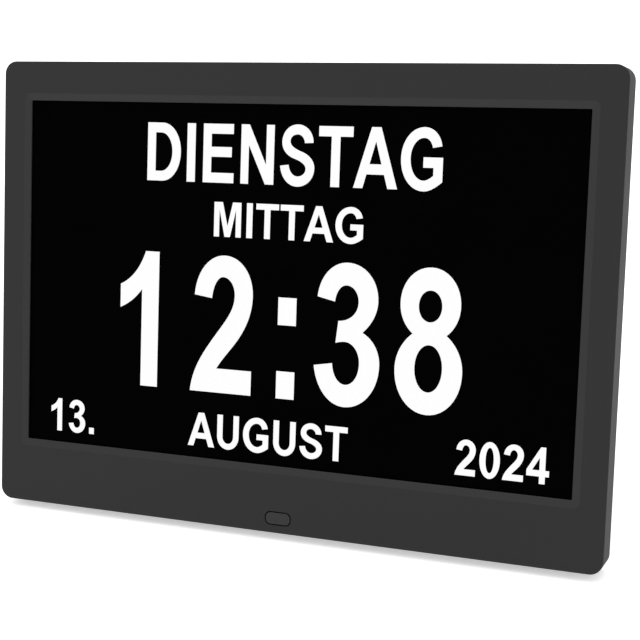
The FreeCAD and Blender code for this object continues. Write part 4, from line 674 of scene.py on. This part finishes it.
def flatPiece(name, loops, thick, toRow, material):
    # closed outlines, in millimetres across and up, filled as one flat shape of this thickness
    curve = bpy.data.curves.new(name, "CURVE")
    curve.dimensions = "2D"
    curve.fill_mode = "BOTH"
    curve.extrude = thick / 2
    for loop in loops:
        spline = curve.splines.new("POLY")
        spline.points.add(len(loop) - 1)
        flat = np.zeros((len(loop), 4))
        flat[:, :2] = loop
        flat[:, 3] = 1
        spline.points.foreach_set("co", flat.ravel())
        spline.use_cyclic_u = True
    held = bpy.data.objects.new(name, curve)
    mesh = bpy.data.meshes.new_from_object(held)
    bpy.data.objects.remove(held)
    corners = np.zeros(len(mesh.vertices) * 3)
    mesh.vertices.foreach_get("co", corners)
    mesh.vertices.foreach_set("co", toRow(corners.reshape(-1, 3)).ravel())
    closed = bmesh.new()
    closed.from_mesh(mesh)
    bmesh.ops.remove_doubles(closed, verts=closed.verts, dist=1e-8)
    bmesh.ops.recalc_face_normals(closed, faces=closed.faces)
    closed.to_mesh(mesh)
    closed.free()
    mesh.materials.clear()
    mesh.materials.append(material)
    piece = bpy.data.objects.new(name, mesh)
    scene.collection.objects.link(piece)
    return piece


def writeText(name, text, left, right, base, height):
    # one word between two places across, standing on its base line, just in front of the glass
    loops = inkedText(text)
    inked = np.concatenate(loops)
    low, high = inked[:, 0].min(), inked[:, 0].max()
    scale = np.array([(right - left) / (high - low), height / readout["capital"]])
    fitted = [(loop - [low, 0]) * scale + [left + readout["across"], base] for loop in loops]

    def inWindow(points):
        across, up, out = points.T
        return inRow(np.stack([across, readout["depth"] - out, readout["middle"] + up], axis=1))

    return place(flatPiece(name, fitted, readout["thick"], inWindow, lit), "case", "display_face")


lines = {
    "readout_day": ("DIENSTAG", -59.1, 58.9, 43.3, 22.1),
    "readout_part_of_day": ("MITTAG", -30.2, 29.8, 23.0, 13.1),
    "readout_hour_tens": ("1", -69.75, -53.1, -36.8, 52.5),
    "readout_hour": ("2", -38.8, -13.2, -36.8, 52.5),
    "readout_colon": (":", -2.8, 4.55, -36.8, 52.5),
    "readout_minute_tens": ("3", 12.2, 37.9, -36.8, 52.5),
    "readout_minute": ("8", 43.8, 69.3, -36.8, 52.5),
    "readout_date": ("13.", -100.4, -80.8, -58.3, 13.1),
    "readout_month": ("AUGUST", -39.1, 26.6, -58.3, 13.1),
    "readout_year": ("2024", 68.05, 102.4, -58.3, 13.1),
}
for name, line in lines.items():
    writeText(name, *line)
print("readout written")

keyMarks = {
    "stroke": 0.45,  # how thick a line is
    "size": 1.45,  # half of a mark's height
    "back": 22.82,  # the middle of the ink, just over the keys' faces
    "thick": 0.06,
    "up": 124.0,
}


def bar(x0, x1, z0, z1):
    return np.array([(x0, z0), (x1, z0), (x1, z1), (x0, z1)])


def bow(radius, stroke, start, end, steps=28):
    # a stretch of a ring between two ways in degrees, out along its outer edge and back along its inner one
    turn = np.radians(np.linspace(start, end, steps))
    ring = np.stack([np.cos(turn), np.sin(turn)], axis=1)
    return np.concatenate([ring * (radius + stroke / 2), ring[::-1] * (radius - stroke / 2)])


def markOutlines(look):
    # plain signs that any such clock's keys carry, seen from behind: on and off, list, up, down, choose, back
    # fractions are of a mark's size
    s, w = look["size"], look["stroke"]
    return {
        "power": [bow(s * 0.82, w, 120, 420), bar(-w / 2, w / 2, s * 0.1, s * 1.15)],
        "menu": [bar(-s, s, level * s - w / 2, level * s + w / 2) for level in (-0.75, 0, 0.75)],
        "up": [np.array([(-s * 0.95, -s * 0.6), (s * 0.95, -s * 0.6), (0, s * 0.85)])],
        "down": [np.array([(-s * 0.95, s * 0.6), (0, -s * 0.85), (s * 0.95, s * 0.6)])],
        "enter": [bow(s * 0.85, w, 0, 359), bow(s * 0.17, s * 0.34 - 0.02, 0, 359)],
        "exit": [np.array([(-s, 0), (-s * 0.1, s * 0.8), (-s * 0.1, w * 0.6), (s, w * 0.6), (s, -w * 0.6),
                           (-s * 0.1, -w * 0.6), (-s * 0.1, -s * 0.8)])],
    }


def onKey(across):
    def toRow(points):
        right, up, out = points.T
        return inRow(np.stack([across - right, keyMarks["back"] + out, keyMarks["up"] + up], axis=1))
    return toRow


for key, outlines in markOutlines(keyMarks).items():
    low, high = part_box(f"{key}_key")
    middle = (low[0] + high[0]) / 2 / mm
    piece = flatPiece(f"{key}_mark", outlines, keyMarks["thick"], onKey(middle), ink)
    place(piece, f"{key}_button", "key_plastic")
print("key marks printed")

studio = {"floorSide": 14.0, "floor": "#f4f4f3", "floorDrifted": "#f1f1f0", "floorGlow": 0.45,
          "sky": "#ffffff", "skyStrength": 1.05, "sun": 0.9, "sunSoft": 50, "sunFrom": (-0.2, -0.35, 1)}


def paleFloor():
    # opal acrylic shooting table: pale, matt and lit a little from below, which keeps the shadows soft
    material, tree, here = newMaterial("opalAcrylicTable")
    drift = addNode(tree, "ShaderNodeTexNoise", {"Scale": 3.0}, {"Vector": here})
    colour = addNode(tree, "ShaderNodeMix",
                     {"data_type": "RGBA", 6: linear(studio["floor"]), 7: linear(studio["floorDrifted"])},
                     {0: drift.outputs[0]})
    shader = addNode(tree, "ShaderNodeBsdfPrincipled",
                     {"Roughness": 0.9, "Specular IOR Level": 0.1, "Emission Color": (1, 1, 1, 1),
                      "Emission Strength": studio["floorGlow"]}, {"Base Color": colour.outputs[2]})
    half = studio["floorSide"] / 2
    corners = [(-half, -half, 0), (half, -half, 0), (half, half, 0), (-half, half, 0)]
    return newPiece("studio_floor", corners, [(0, 1, 2, 3)], finish(material, tree, shader))


paleFloor()
world = bpy.data.worlds.new("soft sky")
scene.world = world
world.use_nodes = True
world.node_tree.nodes["Background"].inputs[0].default_value = linear(studio["sky"])
world.node_tree.nodes["Background"].inputs[1].default_value = studio["skyStrength"]
sun = bpy.data.lights.new("overhead", "SUN")
sun.energy = studio["sun"]
sun.angle = math.radians(studio["sunSoft"])
overhead = bpy.data.objects.new("overhead", sun)
overhead.rotation_euler = Vector(studio["sunFrom"]).to_track_quat("Z", "Y").to_euler()
scene.collection.objects.link(overhead)

lens = {"mm": 79.58, "at": (0.200931, -0.476836, 0.238915),
        "right": (0.93168, 0.360738, -0.042893), "forward": (-0.35671, 0.88608, -0.296007)}
camera = bpy.data.objects.new("camera", bpy.data.cameras.new("camera"))
camera.data.lens = lens["mm"]
camera.data.sensor_width = 36
camera.data.clip_start = 0.01
ahead = Vector(lens["forward"]).normalized()
right = Vector(lens["right"])
right = (right - ahead * right.dot(ahead)).normalized()
up = right.cross(ahead)
camera.matrix_world = Matrix.Translation(lens["at"]) @ Matrix([right, up, -ahead]).transposed().to_4x4()
scene.collection.objects.link(camera)
scene.camera = camera
scene.view_settings.view_transform = "Standard"
print("studio set")
